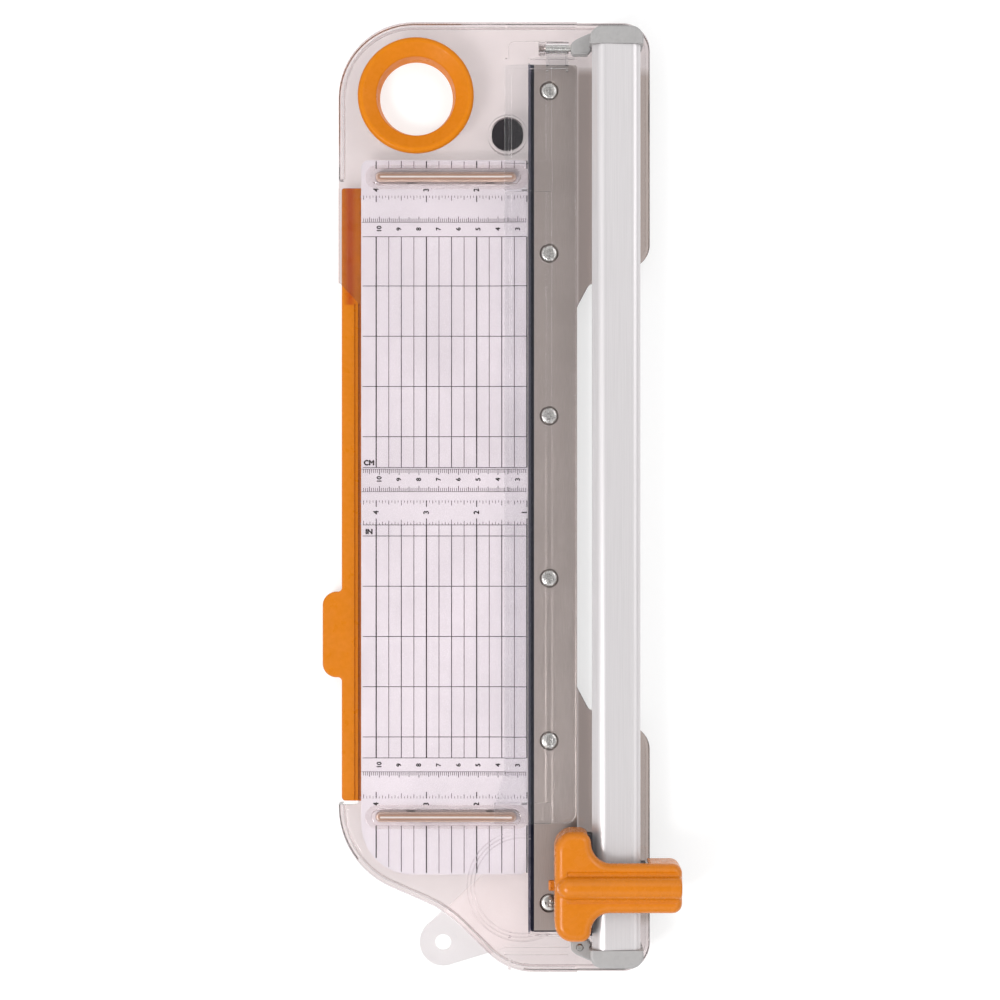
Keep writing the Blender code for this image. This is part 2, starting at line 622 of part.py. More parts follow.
def end_cap(name, side):
    """A cap with its foot under the rail, a plug in it, and an arm to the left."""
    def span(low, high):
        return tuple(sorted((side * low, side * high)))

    foot_z = FLOOR_TOP + GAP
    block = box(name, (44.6 * mm, 71.4 * mm), span(RAIL_HALF + GAP, CAP_END), (foot_z, 33.4 * mm))
    soften(block, 2.4 * mm, 3)
    pedestal = box("pedestal", (47 * mm, 69 * mm), span(208 * mm, 228 * mm),
                   (foot_z, RAIL_BOTTOM - GAP))
    plug = box("plug", (51.4 * mm, 67.8 * mm), span(214 * mm, 228 * mm), (23.2 * mm, 30.8 * mm))
    arm = soften(box("arm", (35.6 * mm, 45.6 * mm), span(221.9 * mm, 229.6 * mm),
                     (DECK_TOP + GAP, 22 * mm)), mm)
    join(block, pedestal, plug, arm)
    for x in CAP_SCREW_X:
        cut(block, rod("bore", "Z", (x, side * CAP_SCREW_Y), 1.8 * mm, (8 * mm, 17 * mm), 8))
    if side > 0:
        cut(block, rod("bore", "X", (HINGE_Y, HINGE_Z), 1.9 * mm, (34 * mm, 42 * mm), 20))
    else:
        cut(block, rod("bore", "Z", (40 * mm, -HINGE_Y), 1.9 * mm, (12 * mm, 24 * mm), 20))
    return finish(block, "grey")


def cap_screws():
    head = (3.2 * mm, FLOOR_BOTTOM - 2.2 * mm, FLOOR_BOTTOM - GAP)
    places = [(x, side * CAP_SCREW_Y) for side in (-1, 1) for x in CAP_SCREW_X]
    screws("cap_screw", places, head, (1.4 * mm, 0, 16.4 * mm), False)


# Paper guide -------------------------------------------------------------------------------

def paper_guide():
    flare_start, flare_end, flare_x = -138 * mm, -156 * mm, -3 * mm
    corners = [(GUIDE_LEFT, GUIDE_REAR, 2 * mm), (GUIDE_LEFT, flare_start, 10 * mm),
               (flare_x, flare_end, 4 * mm), (flare_x, GUIDE_FRONT, 2 * mm),
               (GUIDE_RIGHT, GUIDE_FRONT, 5 * mm), (GUIDE_RIGHT, GUIDE_REAR, 2 * mm)]
    guide = prism("paper_guide", [rounded(corners, 4)], (GUIDE_BOTTOM, GUIDE_TOP))
    cut(guide, box("low", (GUIDE_STEP_X, 50 * mm), (-300 * mm, 300 * mm),
                   (GUIDE_LOW_TOP, 20 * mm)))
    outer, inner = FENCE_FLANGE_WIDTH / 2 + 1.7 * mm, FENCE_FLANGE_WIDTH / 2 + 0.5 * mm
    for y, front in ((FENCE_Y, FENCE_Y - outer), (-FENCE_Y, GUIDE_FRONT)):
        bridge_left = GUIDE_LEFT if y > 0 else flare_x
        join(guide, box("bridge", (bridge_left, GUIDE_STEP_X), (front, y + outer),
                        (GUIDE_BOTTOM + mm, 17.6 * mm)))
        cut(guide, box("tunnel", (-20 * mm, FENCE_RIGHT + 5 * mm), (y - inner, y + inner),
                       (10 * mm, FENCE_TOP + 0.5 * mm)))
    knuckle = rod("knuckle", "X", (HINGE_Y, HINGE_Z), 3.3 * mm, (HINGE_LEFT, HINGE_RIGHT), 24)
    leaf = box("leaf", (HINGE_LEFT, HINGE_RIGHT), (GUIDE_REAR - 2 * mm, HINGE_Y),
               (13.6 * mm, 15.2 * mm))
    join(guide, knuckle, leaf)
    cut(guide, rod("bore", "X", (HINGE_Y, HINGE_Z), 1.9 * mm, (20 * mm, 38 * mm), 20))
    return finish(guide, "clear")


def guide_pin():
    return finish(rod("guide_pin", "X", (HINGE_Y, HINGE_Z), 1.6 * mm, (20.2 * mm, 41 * mm), 20), "steel")


def front_dowel():
    pin = rod("front_dowel", "Z", (40 * mm, -HINGE_Y), 1.6 * mm, (13.6 * mm, 22.6 * mm), 20)
    return finish(pin, "steel")


# Carriage ----------------------------------------------------------------------------------

def along_rail(low, high):
    return CARRIAGE_Y + low, CARRIAGE_Y + high


def carriage_slider():
    """The runner: a tongue in the rail's groove, a bridge over it and seats for the springs."""
    long_y, short_y = along_rail(-25 * mm, 25 * mm), along_rail(-10 * mm, 10 * mm)
    left_wall = (43.4 * mm, RAIL_LEFT - GAP)
    right_wall = (RAIL_RIGHT + GAP, 72.8 * mm)
    bridge_z = (RAIL_TOP + GAP, BRIDGE_TOP - 0.1 * mm)
    slider = box("carriage_slider", left_wall, long_y, (22.5 * mm, BRIDGE_TOP))
    join(slider, box("tongue", (45 * mm, 48.9 * mm), long_y, (25.8 * mm, 28.2 * mm)),
         box("bridge", (44 * mm, right_wall[1]), short_y, bridge_z),
         box("right_wall", right_wall, short_y, (18.4 * mm, bridge_z[1] - 0.1 * mm)),
         box("lip", (67 * mm, 71 * mm), short_y, (18.5 * mm, RAIL_BOTTOM - GAP)),
         box("seat", (72 * mm, 86 * mm), along_rail(-8 * mm, 8 * mm), (18.6 * mm, 21.2 * mm)))
    for side in (-1, 1):
        near, far = along_rail(*sorted((side * 16.5 * mm, side * 24.5 * mm)))
        far_round, near_round = (SEAT_ROUND, mm) if side > 0 else (mm, SEAT_ROUND)
        outline = [(30.4 * mm, far, far_round), (30.4 * mm, near, near_round),
                   (44 * mm, near, 0), (44 * mm, far, 0)]
        join(slider, prism("seat", [rounded(outline)], (22.6 * mm, 24.5 * mm)))
    return finish(slider, "dark")


def head_outline():
    return [(HEAD_LEFT, CARRIAGE_Y + HEAD_HALF, 9 * mm),
            (HEAD_LEFT, CARRIAGE_Y - HEAD_HALF, 9 * mm),
            (HEAD_SIDE, CARRIAGE_Y - HEAD_HALF, 5 * mm),
            (HEAD_SIDE + 1.5 * mm, CARRIAGE_Y - HANDLE_HALF, 7 * mm),
            (HEAD_RIGHT, CARRIAGE_Y - HANDLE_HALF, 3.5 * mm),
            (HEAD_RIGHT, CARRIAGE_Y + HANDLE_HALF, 3.5 * mm),
            (HEAD_SIDE + 1.5 * mm, CARRIAGE_Y + HANDLE_HALF, 7 * mm),
            (HEAD_SIDE, CARRIAGE_Y + HEAD_HALF, 5 * mm)]


def ridge():
    """The round rib along the top of the handle."""
    left, right = HEAD_LEFT + 2 * mm + RIDGE_RADIUS, HEAD_RIGHT - RIDGE_RADIUS
    bar = rod("ridge", "X", (CARRIAGE_Y, RIDGE_Z), RIDGE_RADIUS, (left, right), 20)
    return join(bar, ball("end", (left, CARRIAGE_Y, RIDGE_Z), RIDGE_RADIUS),
                ball("end", (right, CARRIAGE_Y, RIDGE_Z), RIDGE_RADIUS))


def release_place():
    """Middle of the release tab along Y and its span in Z."""
    return CARRIAGE_Y - 1.4 * mm, (23.6 * mm, 26.8 * mm)


def hollow():
    """The room inside the two lobes, with round corners like the outside."""
    near, far = along_rail(-25.2 * mm, 25.2 * mm)
    corners = [(28.9 * mm, far, 7.5 * mm), (28.9 * mm, near, 7.5 * mm),
               (45.6 * mm, near, 0), (45.6 * mm, far, 0)]
    return prism("hollow", [rounded(corners)], (10 * mm, HOUSING_CEILING))


def press_head():
    head = prism("press_head", [rounded(head_outline())], (GRIP_BOTTOM, HEAD_TOP))
    soften(head, 2.5 * mm, 3)
    join(head, ridge())
    everywhere = along_rail(-60 * mm, 60 * mm)
    low = 10 * mm
    cut(head, box("below", (0, 73.6 * mm), everywhere, (low, HEAD_BOTTOM)),
        box("rail_way", (44.9 * mm, 73.6 * mm), everywhere, (low, RAIL_WAY_CEILING)),
        hollow(),
        box("handle", (44 * mm, 88.2 * mm), along_rail(-10.6 * mm, 10.6 * mm),
            (low, HANDLE_CEILING)))
    cut(head, rod("blade_room", "X", (CARRIAGE_Y, BLADE_Z), BLADE_RADIUS + 0.5 * mm,
                  (BLADE_LEFT - 0.8 * mm, BLADE_RIGHT + 0.8 * mm), 36))
    y, (bottom, top) = release_place()
    cut(head, box("window", (20 * mm, 30 * mm), (y - 3 * mm, y + 3 * mm),
                  (bottom - 0.4 * mm, top + 0.4 * mm)))
    return finish(head, "orange")


def release_tab():
    y, (bottom, top) = release_place()
    stem = box("release_tab", (24.2 * mm, 29.6 * mm), (y - 2.6 * mm, y + 2.6 * mm), (bottom, top))
    soften(stem, 0.5 * mm, 2)
    join(stem, box("flange", (29.2 * mm, 30.4 * mm), (y - 4.2 * mm, y + 4.2 * mm),
                   (bottom - 1.4 * mm, top + 1.4 * mm)))
    return finish(stem, "orange")


def blade_holder():
    side = box("blade_holder", (35.2 * mm, 37.2 * mm), along_rail(-9 * mm, 9 * mm),
               (23.5 * mm, HOUSING_CEILING - GAP))
    join(side, box("foot", (31 * mm, 37.1 * mm), along_rail(-8.9 * mm, 8.9 * mm),
                   (36.6 * mm, HOUSING_CEILING - 1.5 * GAP)))
    cut(side, rod("bore", "X", (CARRIAGE_Y, BLADE_Z), AXLE_RADIUS + GAP, (30 * mm, 38 * mm), 24))
    return finish(side, "grey")


def blade_axle():
    axle = rod("blade_axle", "X", (CARRIAGE_Y, BLADE_Z), AXLE_RADIUS, (32.6 * mm, 40.4 * mm), 24)
    join(axle, rod("head", "X", (CARRIAGE_Y, BLADE_Z), 5 * mm, (40 * mm, 41.4 * mm), 24))
    return finish(axle, "steel")


def blade_nut():
    nut = rod("blade_nut", "X", (CARRIAGE_Y, BLADE_Z), 4.2 * mm, (32.9 * mm, 34.9 * mm), 6)
    hole = rod("hole", "X", (CARRIAGE_Y, BLADE_Z), AXLE_RADIUS + GAP, (32 * mm, 36 * mm), 24)
    return finish(cut(nut, hole), "steel")


def blade():
    """A thin disc with a ground edge, turned about the X axis."""
    half = (BLADE_RIGHT - BLADE_LEFT) / 2
    bore, ground, edge = AXLE_RADIUS + GAP, BLADE_RADIUS - 1.6 * mm, 0.05 * mm
    profile = [(bore, half), (ground, half), (BLADE_RADIUS, edge), (BLADE_RADIUS, -edge),
               (ground, -half), (bore, -half)]
    place = ((BLADE_LEFT + BLADE_RIGHT) / 2, CARRIAGE_Y, BLADE_Z)
    return finish(turned("blade", profile, place, "X", 36), "steel")


# Assembly ----------------------------------------------------------------------------------

def attach(pieces, name, place, parent=None):
    """Hang a moving body's pieces on an empty that stands on its joint's axis."""
    empty = bpy.data.objects.new(name, None)
    bpy.data.collections[MODEL].objects.link(empty)
    empty.location = place
    bpy.context.view_layer.update()
    if parent:
        empty.parent = parent
        empty.matrix_parent_inverse = parent.matrix_world.inverted()
    for piece in pieces:
        piece.parent = empty
        piece.matrix_parent_inverse = Matrix.Translation(place).inverted()
    bpy.context.view_layer.update()
    return empty


def build():
    clear_scene()
    collection(MODEL)
    base_deck()
    scale_sheet()
    base_pan()
    fence("fence_rear", 1)
    fence("fence_front", -1)
    fence_screws()
    plate_bed()
    cutting_plate()
    plate_screws()
    hang_ring()
    for name, place in FEET.items():
        foot(name, *place)
    rail()
    end_cap("end_cap_rear", 1)
    end_cap("end_cap_front", -1)
    cap_screws()
    guide_pin()
    front_dowel()
    arm_pivot_screw()
    finish(washer("arm_washer", "Z", (ARM_PIVOT_X, ARM_PIVOT_Y), 7 * mm, 1.9 * mm,
                  (2.9 * mm, 3.6 * mm)), "steel")
    tab_rivet()

    attach([paper_guide()], "guide_joint", (HINGE_LEFT, HINGE_Y, HINGE_Z))
    attach([swing_arm()], "arm_joint", (ARM_PIVOT_X, ARM_PIVOT_Y, ARM_BOTTOM))
    attach([hang_tab()], "tab_joint", (TAB_PIVOT_X, TAB_PIVOT_Y, TAB_BOTTOM))

    springs = [coil("spring_grip", (80 * mm, CARRIAGE_Y, 21.5 * mm), 3.4 * mm, 0.8 * mm,
                    HANDLE_CEILING - 21.8 * mm, 5)]
    for name, side in (("spring_rear", 1), ("spring_front", -1)):
        place = (35 * mm, CARRIAGE_Y + side * 20.5 * mm, 24.8 * mm)
        springs.append(coil(name, place, 2.8 * mm, 0.7 * mm, HOUSING_CEILING - 25.1 * mm, 5))
    for spring in springs:
        finish(spring, "steel")
    spacer = finish(washer("blade_spacer", "X", (CARRIAGE_Y, BLADE_Z), 5.2 * mm,
                           AXLE_RADIUS + GAP, (37.5 * mm, 38.9 * mm)), "steel")
    slide = attach([carriage_slider()] + springs, "carriage_joint", (58 * mm, CARRIAGE_Y, 27 * mm))
    press = attach([press_head(), blade_holder(), blade_axle(), blade_nut(), spacer],
                   "press_joint", (58 * mm, CARRIAGE_Y, HEAD_TOP), slide)
    attach([blade()], "blade_joint", (BLADE_LEFT, CARRIAGE_Y, BLADE_Z), press)
    y, (bottom, top) = release_place()
    attach([release_tab()], "release_joint", (HEAD_LEFT, y, (bottom + top) / 2), press)


build()
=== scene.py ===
"""Looks of the rotary paper trimmer: fine meshes, procedural materials, light and camera."""

import math

import bmesh
import bpy
from mathutils import Matrix, Vector


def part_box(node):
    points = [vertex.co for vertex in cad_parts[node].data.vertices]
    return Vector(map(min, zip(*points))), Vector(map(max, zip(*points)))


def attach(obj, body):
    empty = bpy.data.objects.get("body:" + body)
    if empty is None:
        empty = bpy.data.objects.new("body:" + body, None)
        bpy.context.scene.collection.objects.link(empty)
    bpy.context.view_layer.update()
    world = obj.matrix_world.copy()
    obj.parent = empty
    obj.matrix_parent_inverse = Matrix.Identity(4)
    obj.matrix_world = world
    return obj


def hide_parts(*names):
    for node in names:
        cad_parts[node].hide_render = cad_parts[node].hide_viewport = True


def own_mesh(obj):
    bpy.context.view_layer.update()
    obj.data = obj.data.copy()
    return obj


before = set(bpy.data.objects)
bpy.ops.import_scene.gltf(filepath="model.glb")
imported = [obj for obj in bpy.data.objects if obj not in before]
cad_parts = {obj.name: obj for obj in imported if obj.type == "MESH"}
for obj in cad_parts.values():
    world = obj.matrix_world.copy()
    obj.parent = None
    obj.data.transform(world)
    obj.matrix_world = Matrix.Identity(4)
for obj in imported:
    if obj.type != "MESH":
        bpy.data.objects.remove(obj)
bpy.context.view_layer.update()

mm = 0.001

# Places, most of them read from the imported model
SHEET_LOW, SHEET_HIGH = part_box("scale_sheet")
PLATE_LOW, PLATE_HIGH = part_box("cutting_plate")
BED_LOW, BED_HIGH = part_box("plate_bed")
RING_LOW, RING_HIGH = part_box("hang_ring")
RAIL_LOW, RAIL_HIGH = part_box("rail")
GUIDE_LOW, GUIDE_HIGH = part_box("paper_guide")
ARM_LOW, ARM_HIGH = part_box("swing_arm")
TAB_LOW, TAB_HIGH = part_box("hang_tab")
HEAD_LOW, HEAD_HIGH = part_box("press_head")
BLADE_LOW, BLADE_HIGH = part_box("blade")
BASE_LOW, BASE_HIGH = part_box("base_deck")
PIN_LOW, PIN_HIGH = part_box("guide_pin")
FENCE_LOW, FENCE_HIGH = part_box("fence_rear")

DECK_TOP = PLATE_HIGH.z
DECK_BOTTOM = DECK_TOP - 2.4 * mm
FLOOR_TOP = DECK_TOP - 3.7 * mm
FLOOR_BOTTOM = FLOOR_TOP - 2.2 * mm
CUT_X = PLATE_HIGH.x + 0.1 * mm
EDGE_X = PLATE_HIGH.x
RING_CENTRE = (RING_LOW + RING_HIGH) / 2
BLADE_CENTRE = (BLADE_LOW + BLADE_HIGH) / 2
PIN_CENTRE = (PIN_LOW + PIN_HIGH) / 2
FENCE_Y = (FENCE_LOW.y + FENCE_HIGH.y) / 2
CARRIAGE_Y = BLADE_CENTRE.y
WELL_CENTRE = (11.2 * mm, -196.5 * mm)
WELL_STEPS = ((28 * mm, 0.7 * mm), (26.2 * mm, 1.2 * mm), (24.4 * mm, 1.7 * mm))
GAP = 0.3 * mm
INCH = 25.4 * mm


# Shapes ------------------------------------------------------------------------------------

def new_object(name, mesh):
    thing = bpy.data.objects.new(name, mesh)
    bpy.context.scene.collection.objects.link(thing)
    return thing


def from_bmesh(name, bm):
    mesh = bpy.data.meshes.new(name)
    bm.to_mesh(mesh)
    bm.free()
    return new_object(name, mesh)


def evaluated(thing):
    bpy.context.view_layer.update()
    graph = bpy.context.evaluated_depsgraph_get()
    return bpy.data.meshes.new_from_object(thing.evaluated_get(graph), depsgraph=graph)


def bake(thing):
    mesh = evaluated(thing)
    thing.modifiers.clear()
    thing.data = mesh
    return thing


def combine(thing, operation, tools):
    for tool in tools:
        modifier = thing.modifiers.new("Boolean", "BOOLEAN")
        modifier.operation = operation
        modifier.solver = "EXACT"
        modifier.object = tool
        bake(thing)
        bpy.data.objects.remove(tool)
    return thing


def cut(thing, *tools):
    return combine(thing, "DIFFERENCE", tools)


def join(thing, *tools):
    return combine(thing, "UNION", tools)


def box(x, y, z):
    bm = bmesh.new()
    sides = [high - low for low, high in (x, y, z)]
    centre = [(low + high) / 2 for low, high in (x, y, z)]
    bmesh.ops.create_cube(bm, size=1, matrix=Matrix.LocRotScale(centre, None, sides))
    return from_bmesh("box", bm)


TURN = {"X": Matrix.Rotation(math.pi / 2, 4, "Y"), "Y": Matrix.Rotation(math.pi / 2, 4, "X"),
        "Z": Matrix.Identity(4)}


def rod(axis, centre, radius, span, segments=48, end_radius=None):
    low, high = span
    place = list(centre)
    place.insert("XYZ".index(axis), (low + high) / 2)
    bm = bmesh.new()
    top = radius if end_radius is None else end_radius
    bmesh.ops.create_cone(bm, cap_ends=True, segments=segments, radius1=radius, radius2=top,
                          depth=high - low, matrix=Matrix.Translation(place) @ TURN[axis])
    return from_bmesh("rod", bm)


def ball(centre, radius):
    bm = bmesh.new()
    bmesh.ops.create_uvsphere(bm, u_segments=48, v_segments=24, radius=radius,
                              matrix=Matrix.Translation(centre) @ TURN["X"])
    return from_bmesh("ball", bm)


def arc(centre, radius, start, sweep, steps):
    return [(centre[0] + radius * math.cos(start + sweep * step / steps),
             centre[1] + radius * math.sin(start + sweep * step / steps))
            for step in range(steps + 1)]


def circle(centre, radius, segments=64):
    return arc(centre, radius, 0, 2 * math.pi * (segments - 1) / segments, segments - 1)


def rounded(corners, quarter_steps=16):
    """A closed outline through corners given as (x, y, radius)."""
    points = []
    for index, (x, y, radius) in enumerate(corners):
        corner = Vector((x, y))
        back = (Vector(corners[index - 1][:2]) - corner).normalized()
        ahead = (Vector(corners[(index + 1) % len(corners)][:2]) - corner).normalized()
        if radius <= 0:
            points.append((x, y))
            continue
        half = back.angle(ahead) / 2
        centre = corner + (back + ahead).normalized() * (radius / math.sin(half))
        first = corner + back * (radius / math.tan(half)) - centre
        last = corner + ahead * (radius / math.tan(half)) - centre
        sweep = -first.angle_signed(last)
        steps = max(2, round(quarter_steps * abs(sweep) / (math.pi / 2)))
        points += arc(centre, radius, math.atan2(first.y, first.x), sweep, steps)
    return points


def inset(corners, distance):
    """The corners moved inwards, for an outline that runs anticlockwise."""
    lines = []
    for index, (x, y, _) in enumerate(corners):
        start = Vector((x, y))
        along = (Vector(corners[(index + 1) % len(corners)][:2]) - start).normalized()
        lines.append((start + Vector((-along.y, along.x)) * distance, along))
    moved = []
    for index, (_, _, radius) in enumerate(corners):
        (point, way), (other, turn) = lines[index - 1], lines[index]
        bend = way.cross(turn)
        place = point + way * ((other - point).cross(turn) / bend)
        wanted = radius - distance if bend > 0 else radius + distance
        moved.append((place.x, place.y, max(wanted, 0) if radius > 0 else 0))
    return moved


def racetrack(left, right, y, width, steps=24):
    radius = width / 2
    return (arc((right - radius, y), radius, -math.pi / 2, math.pi, steps)
            + arc((left + radius, y), radius, math.pi / 2, math.pi, steps))


def prism(outlines, z, edge=0.0, turn=None, edge_steps=2):
    """A plate with the first outline and the others as holes; edge rounds its rims."""
    curve = bpy.data.curves.new("outline", "CURVE")
    curve.dimensions = "2D"
    curve.fill_mode = "BOTH"
    curve.extrude = (z[1] - z[0]) / 2 - edge
    curve.bevel_depth = edge
    curve.bevel_resolution = edge_steps
    curve.offset = -edge
    for outline in outlines:
        spline = curve.splines.new("POLY")
        spline.points.add(len(outline) - 1)
        for point, (x, y) in zip(spline.points, outline):
            point.co = (x, y, 0, 1)
        spline.use_cyclic_u = True
    drawn = new_object("outline", curve)
    place = (turn or Matrix.Identity(4)) @ Matrix.Translation((0, 0, (z[0] + z[1]) / 2))
    mesh = evaluated(drawn)
    mesh.transform(place)
    bpy.data.objects.remove(drawn)
    bm = bmesh.new()
    bm.from_mesh(mesh)
    bmesh.ops.remove_doubles(bm, verts=bm.verts, dist=2e-6)
    bmesh.ops.recalc_face_normals(bm, faces=bm.faces)
    return from_bmesh("prism", bm)


def turned(profile, place, axis="Z", segments=96):
    """A profile of (radius, height) points spun round, closed on itself or ending on the axis."""
    bm = bmesh.new()
    corners = [bm.verts.new((radius, 0, height)) for radius, height in profile]
    closed = profile[0][0] > 0
    edges = [bm.edges.new(pair) for pair in zip(corners, corners[1:])]
    if closed:
        edges.append(bm.edges.new((corners[-1], corners[0])))
    bmesh.ops.spin(bm, geom=corners + edges, angle=2 * math.pi, steps=segments,
                   axis=(0, 0, 1), cent=(0, 0, 0), use_merge=True)
    bmesh.ops.remove_doubles(bm, verts=bm.verts, dist=1e-6)
    bmesh.ops.dissolve_degenerate(bm, dist=1e-7, edges=bm.edges)
    bmesh.ops.recalc_face_normals(bm, faces=bm.faces)
    bmesh.ops.transform(bm, matrix=Matrix.Translation(place) @ TURN[axis], verts=bm.verts)
    return from_bmesh("turned", bm)


def soften(thing, width, segments=3, angle=35):
    bevel = thing.modifiers.new("Bevel", "BEVEL")
    bevel.width = width
    bevel.segments = segments
    bevel.limit_method = "ANGLE"
    bevel.angle_limit = math.radians(angle)
    bevel.harden_normals = False
    return thing


def smooth(thing, angle=40):
    """Smooth shading that keeps sharp edges and leaves large flat faces flat."""
    thing.data.shade_smooth()
    thing.data.set_sharp_from_angle(angle=math.radians(angle))
    weighted = thing.modifiers.new("Weighted", "WEIGHTED_NORMAL")
    weighted.weight = 100
    weighted.keep_sharp = True
    return bake(thing)


def melt(thing, voxel, rounds):
    """Voxel remesh and smooth, which rounds every edge as a moulding's edges are."""
    remesh = thing.modifiers.new("Remesh", "REMESH")
    remesh.mode = "VOXEL"
    remesh.voxel_size = voxel
    bake(thing)
    soft = thing.modifiers.new("Smooth", "SMOOTH")
    soft.factor = 0.5
    soft.iterations = rounds
    bake(thing)
    thing.data.shade_smooth()
    return thing


def place(thing, name, material, body, *nodes, slot=None):
    """Names a finished piece, gives it its material, and hands it to its body."""
    thing.name = name
    thing.data.name = name
    thing.data.materials.clear()
    thing.data.materials.append(material)
    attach(thing, body)
    if nodes:
        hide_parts(*nodes)
    return thing


# Materials ---------------------------------------------------------------------------------

class Paint:
    """A Principled material under construction, with noise for colour, roughness and bump."""

    def __init__(self, name, colour, roughness, metallic=0.0, **values):
        self.material = bpy.data.materials.new(name)
        self.material.use_nodes = True
        self.tree = self.material.node_tree
        self.shader = self.tree.nodes["Principled BSDF"]
        self.colour = (*colour, 1)
        self.shader.inputs["Base Color"].default_value = self.colour
        self.shader.inputs["Roughness"].default_value = roughness
        self.shader.inputs["Metallic"].default_value = metallic
        for key, value in values.items():
            self.shader.inputs[key.replace("_", " ")].default_value = value
        self.place = self.tree.nodes.new("ShaderNodeTexCoord").outputs["Object"]
        self.normal = None

    def link(self, source, target):
        self.tree.links.new(source, target)

    def stretched(self, stretch, turn=0.0):
        mapping = self.tree.nodes.new("ShaderNodeMapping")
        mapping.inputs["Scale"].default_value = stretch
        mapping.inputs["Rotation"].default_value = (0, 0, turn)
        self.link(self.place, mapping.inputs["Vector"])
        return mapping.outputs["Vector"]

    def noise(self, size, detail=3.0, stretch=(1, 1, 1), distortion=0.0):
        """Noise whose features are about size across, in metres."""
        texture = self.tree.nodes.new("ShaderNodeTexNoise")
        texture.inputs["Scale"].default_value = 1 / size
        texture.inputs["Detail"].default_value = detail
        texture.inputs["Distortion"].default_value = distortion
        self.link(self.stretched(stretch), texture.inputs["Vector"])
        return texture.outputs["Fac"]

    def cells(self, size):
        texture = self.tree.nodes.new("ShaderNodeTexVoronoi")
        texture.inputs["Scale"].default_value = 1 / size
        self.link(self.place, texture.inputs["Vector"])
        return texture.outputs["Distance"]

    def ranged(self, value, low, high, source=(0.35, 0.65)):
        span = self.tree.nodes.new("ShaderNodeMapRange")
        span.inputs["From Min"].default_value, span.inputs["From Max"].default_value = source
        span.inputs["To Min"].default_value, span.inputs["To Max"].default_value = low, high
        self.link(value, span.inputs["Value"])
        return span.outputs["Result"]

    def tint(self, value, colour, amount, source=(0.35, 0.65)):
        """Mixes a second colour in by the noise value, up to the amount."""
        mix = self.tree.nodes.new("ShaderNodeMix")
        mix.data_type = "RGBA"
        fresh = not self.shader.inputs["Base Color"].is_linked
        if fresh:
            mix.inputs["A"].default_value = self.colour
        else:
            self.link(self.shader.inputs["Base Color"].links[0].from_socket, mix.inputs["A"])
        mix.inputs["B"].default_value = (*colour, 1)
        self.link(self.ranged(value, 0, amount, source), mix.inputs["Factor"])
        self.link(mix.outputs["Result"], self.shader.inputs["Base Color"])
        return self

    def zone(self, axis, stops, turn=0.0):
        """1 between the middle two of four places along an axis, 0 outside the outer two."""
        split = self.tree.nodes.new("ShaderNodeSeparateXYZ")
        self.link(self.stretched((1, 1, 1), turn), split.inputs["Vector"])
        return self.band(split.outputs[axis], stops)

    def band(self, value, stops):
        return self.product(self.ranged(value, 0, 1, stops[:2]), self.ranged(value, 1, 0, stops[2:]))

    def from_point(self, point):
        node = self.tree.nodes.new("ShaderNodeVectorMath")
        node.operation = "DISTANCE"
        self.link(self.place, node.inputs[0])
        node.inputs[1].default_value = point
        return node.outputs["Value"]

    def product(self, first, second):
        node = self.tree.nodes.new("ShaderNodeMath")
        node.operation = "MULTIPLY"
        self.link(first, node.inputs[0])
        self.link(second, node.inputs[1])
        return node.outputs["Value"]

    def rough(self, value, low, high, source=(0.35, 0.65)):
        self.link(self.ranged(value, low, high, source), self.shader.inputs["Roughness"])
        return self

    def bump(self, value, height, strength=1.0):
        node = self.tree.nodes.new("ShaderNodeBump")
        node.inputs["Distance"].default_value = height
        node.inputs["Strength"].default_value = strength
        self.link(value, node.inputs["Height"])
        if self.normal:
            self.link(self.normal, node.inputs["Normal"])
        self.normal = node.outputs["Normal"]
        self.link(self.normal, self.shader.inputs["Normal"])
        return self

    def see_through(self, shade):
        """Lets light past to what is behind, tinted, instead of a black shadow."""
        output = self.tree.nodes["Material Output"]
        clear = self.tree.nodes.new("ShaderNodeBsdfTransparent")
        clear.inputs["Color"].default_value = (*shade, 1)
        path = self.tree.nodes.new("ShaderNodeLightPath")
        mix = self.tree.nodes.new("ShaderNodeMixShader")
        self.link(path.outputs["Is Shadow Ray"], mix.inputs["Fac"])
        self.link(self.shader.outputs["BSDF"], mix.inputs[1])
        self.link(clear.outputs["BSDF"], mix.inputs[2])
        self.link(mix.outputs["Shader"], output.inputs["Surface"])
        return self


def clear_plastic(name, colour, shade, roughness=0.03):
    paint = Paint(name, colour, roughness, IOR=1.49, Transmission_Weight=1.0)
    haze = paint.noise(30 * mm, 4)
    paint.tint(haze, tuple(0.955 * channel for channel in colour), 1.0)
    paint.rough(paint.noise(14 * mm, 5, distortion=0.4), roughness * 0.5, roughness * 1.9)
    paint.see_through(shade)
    return paint


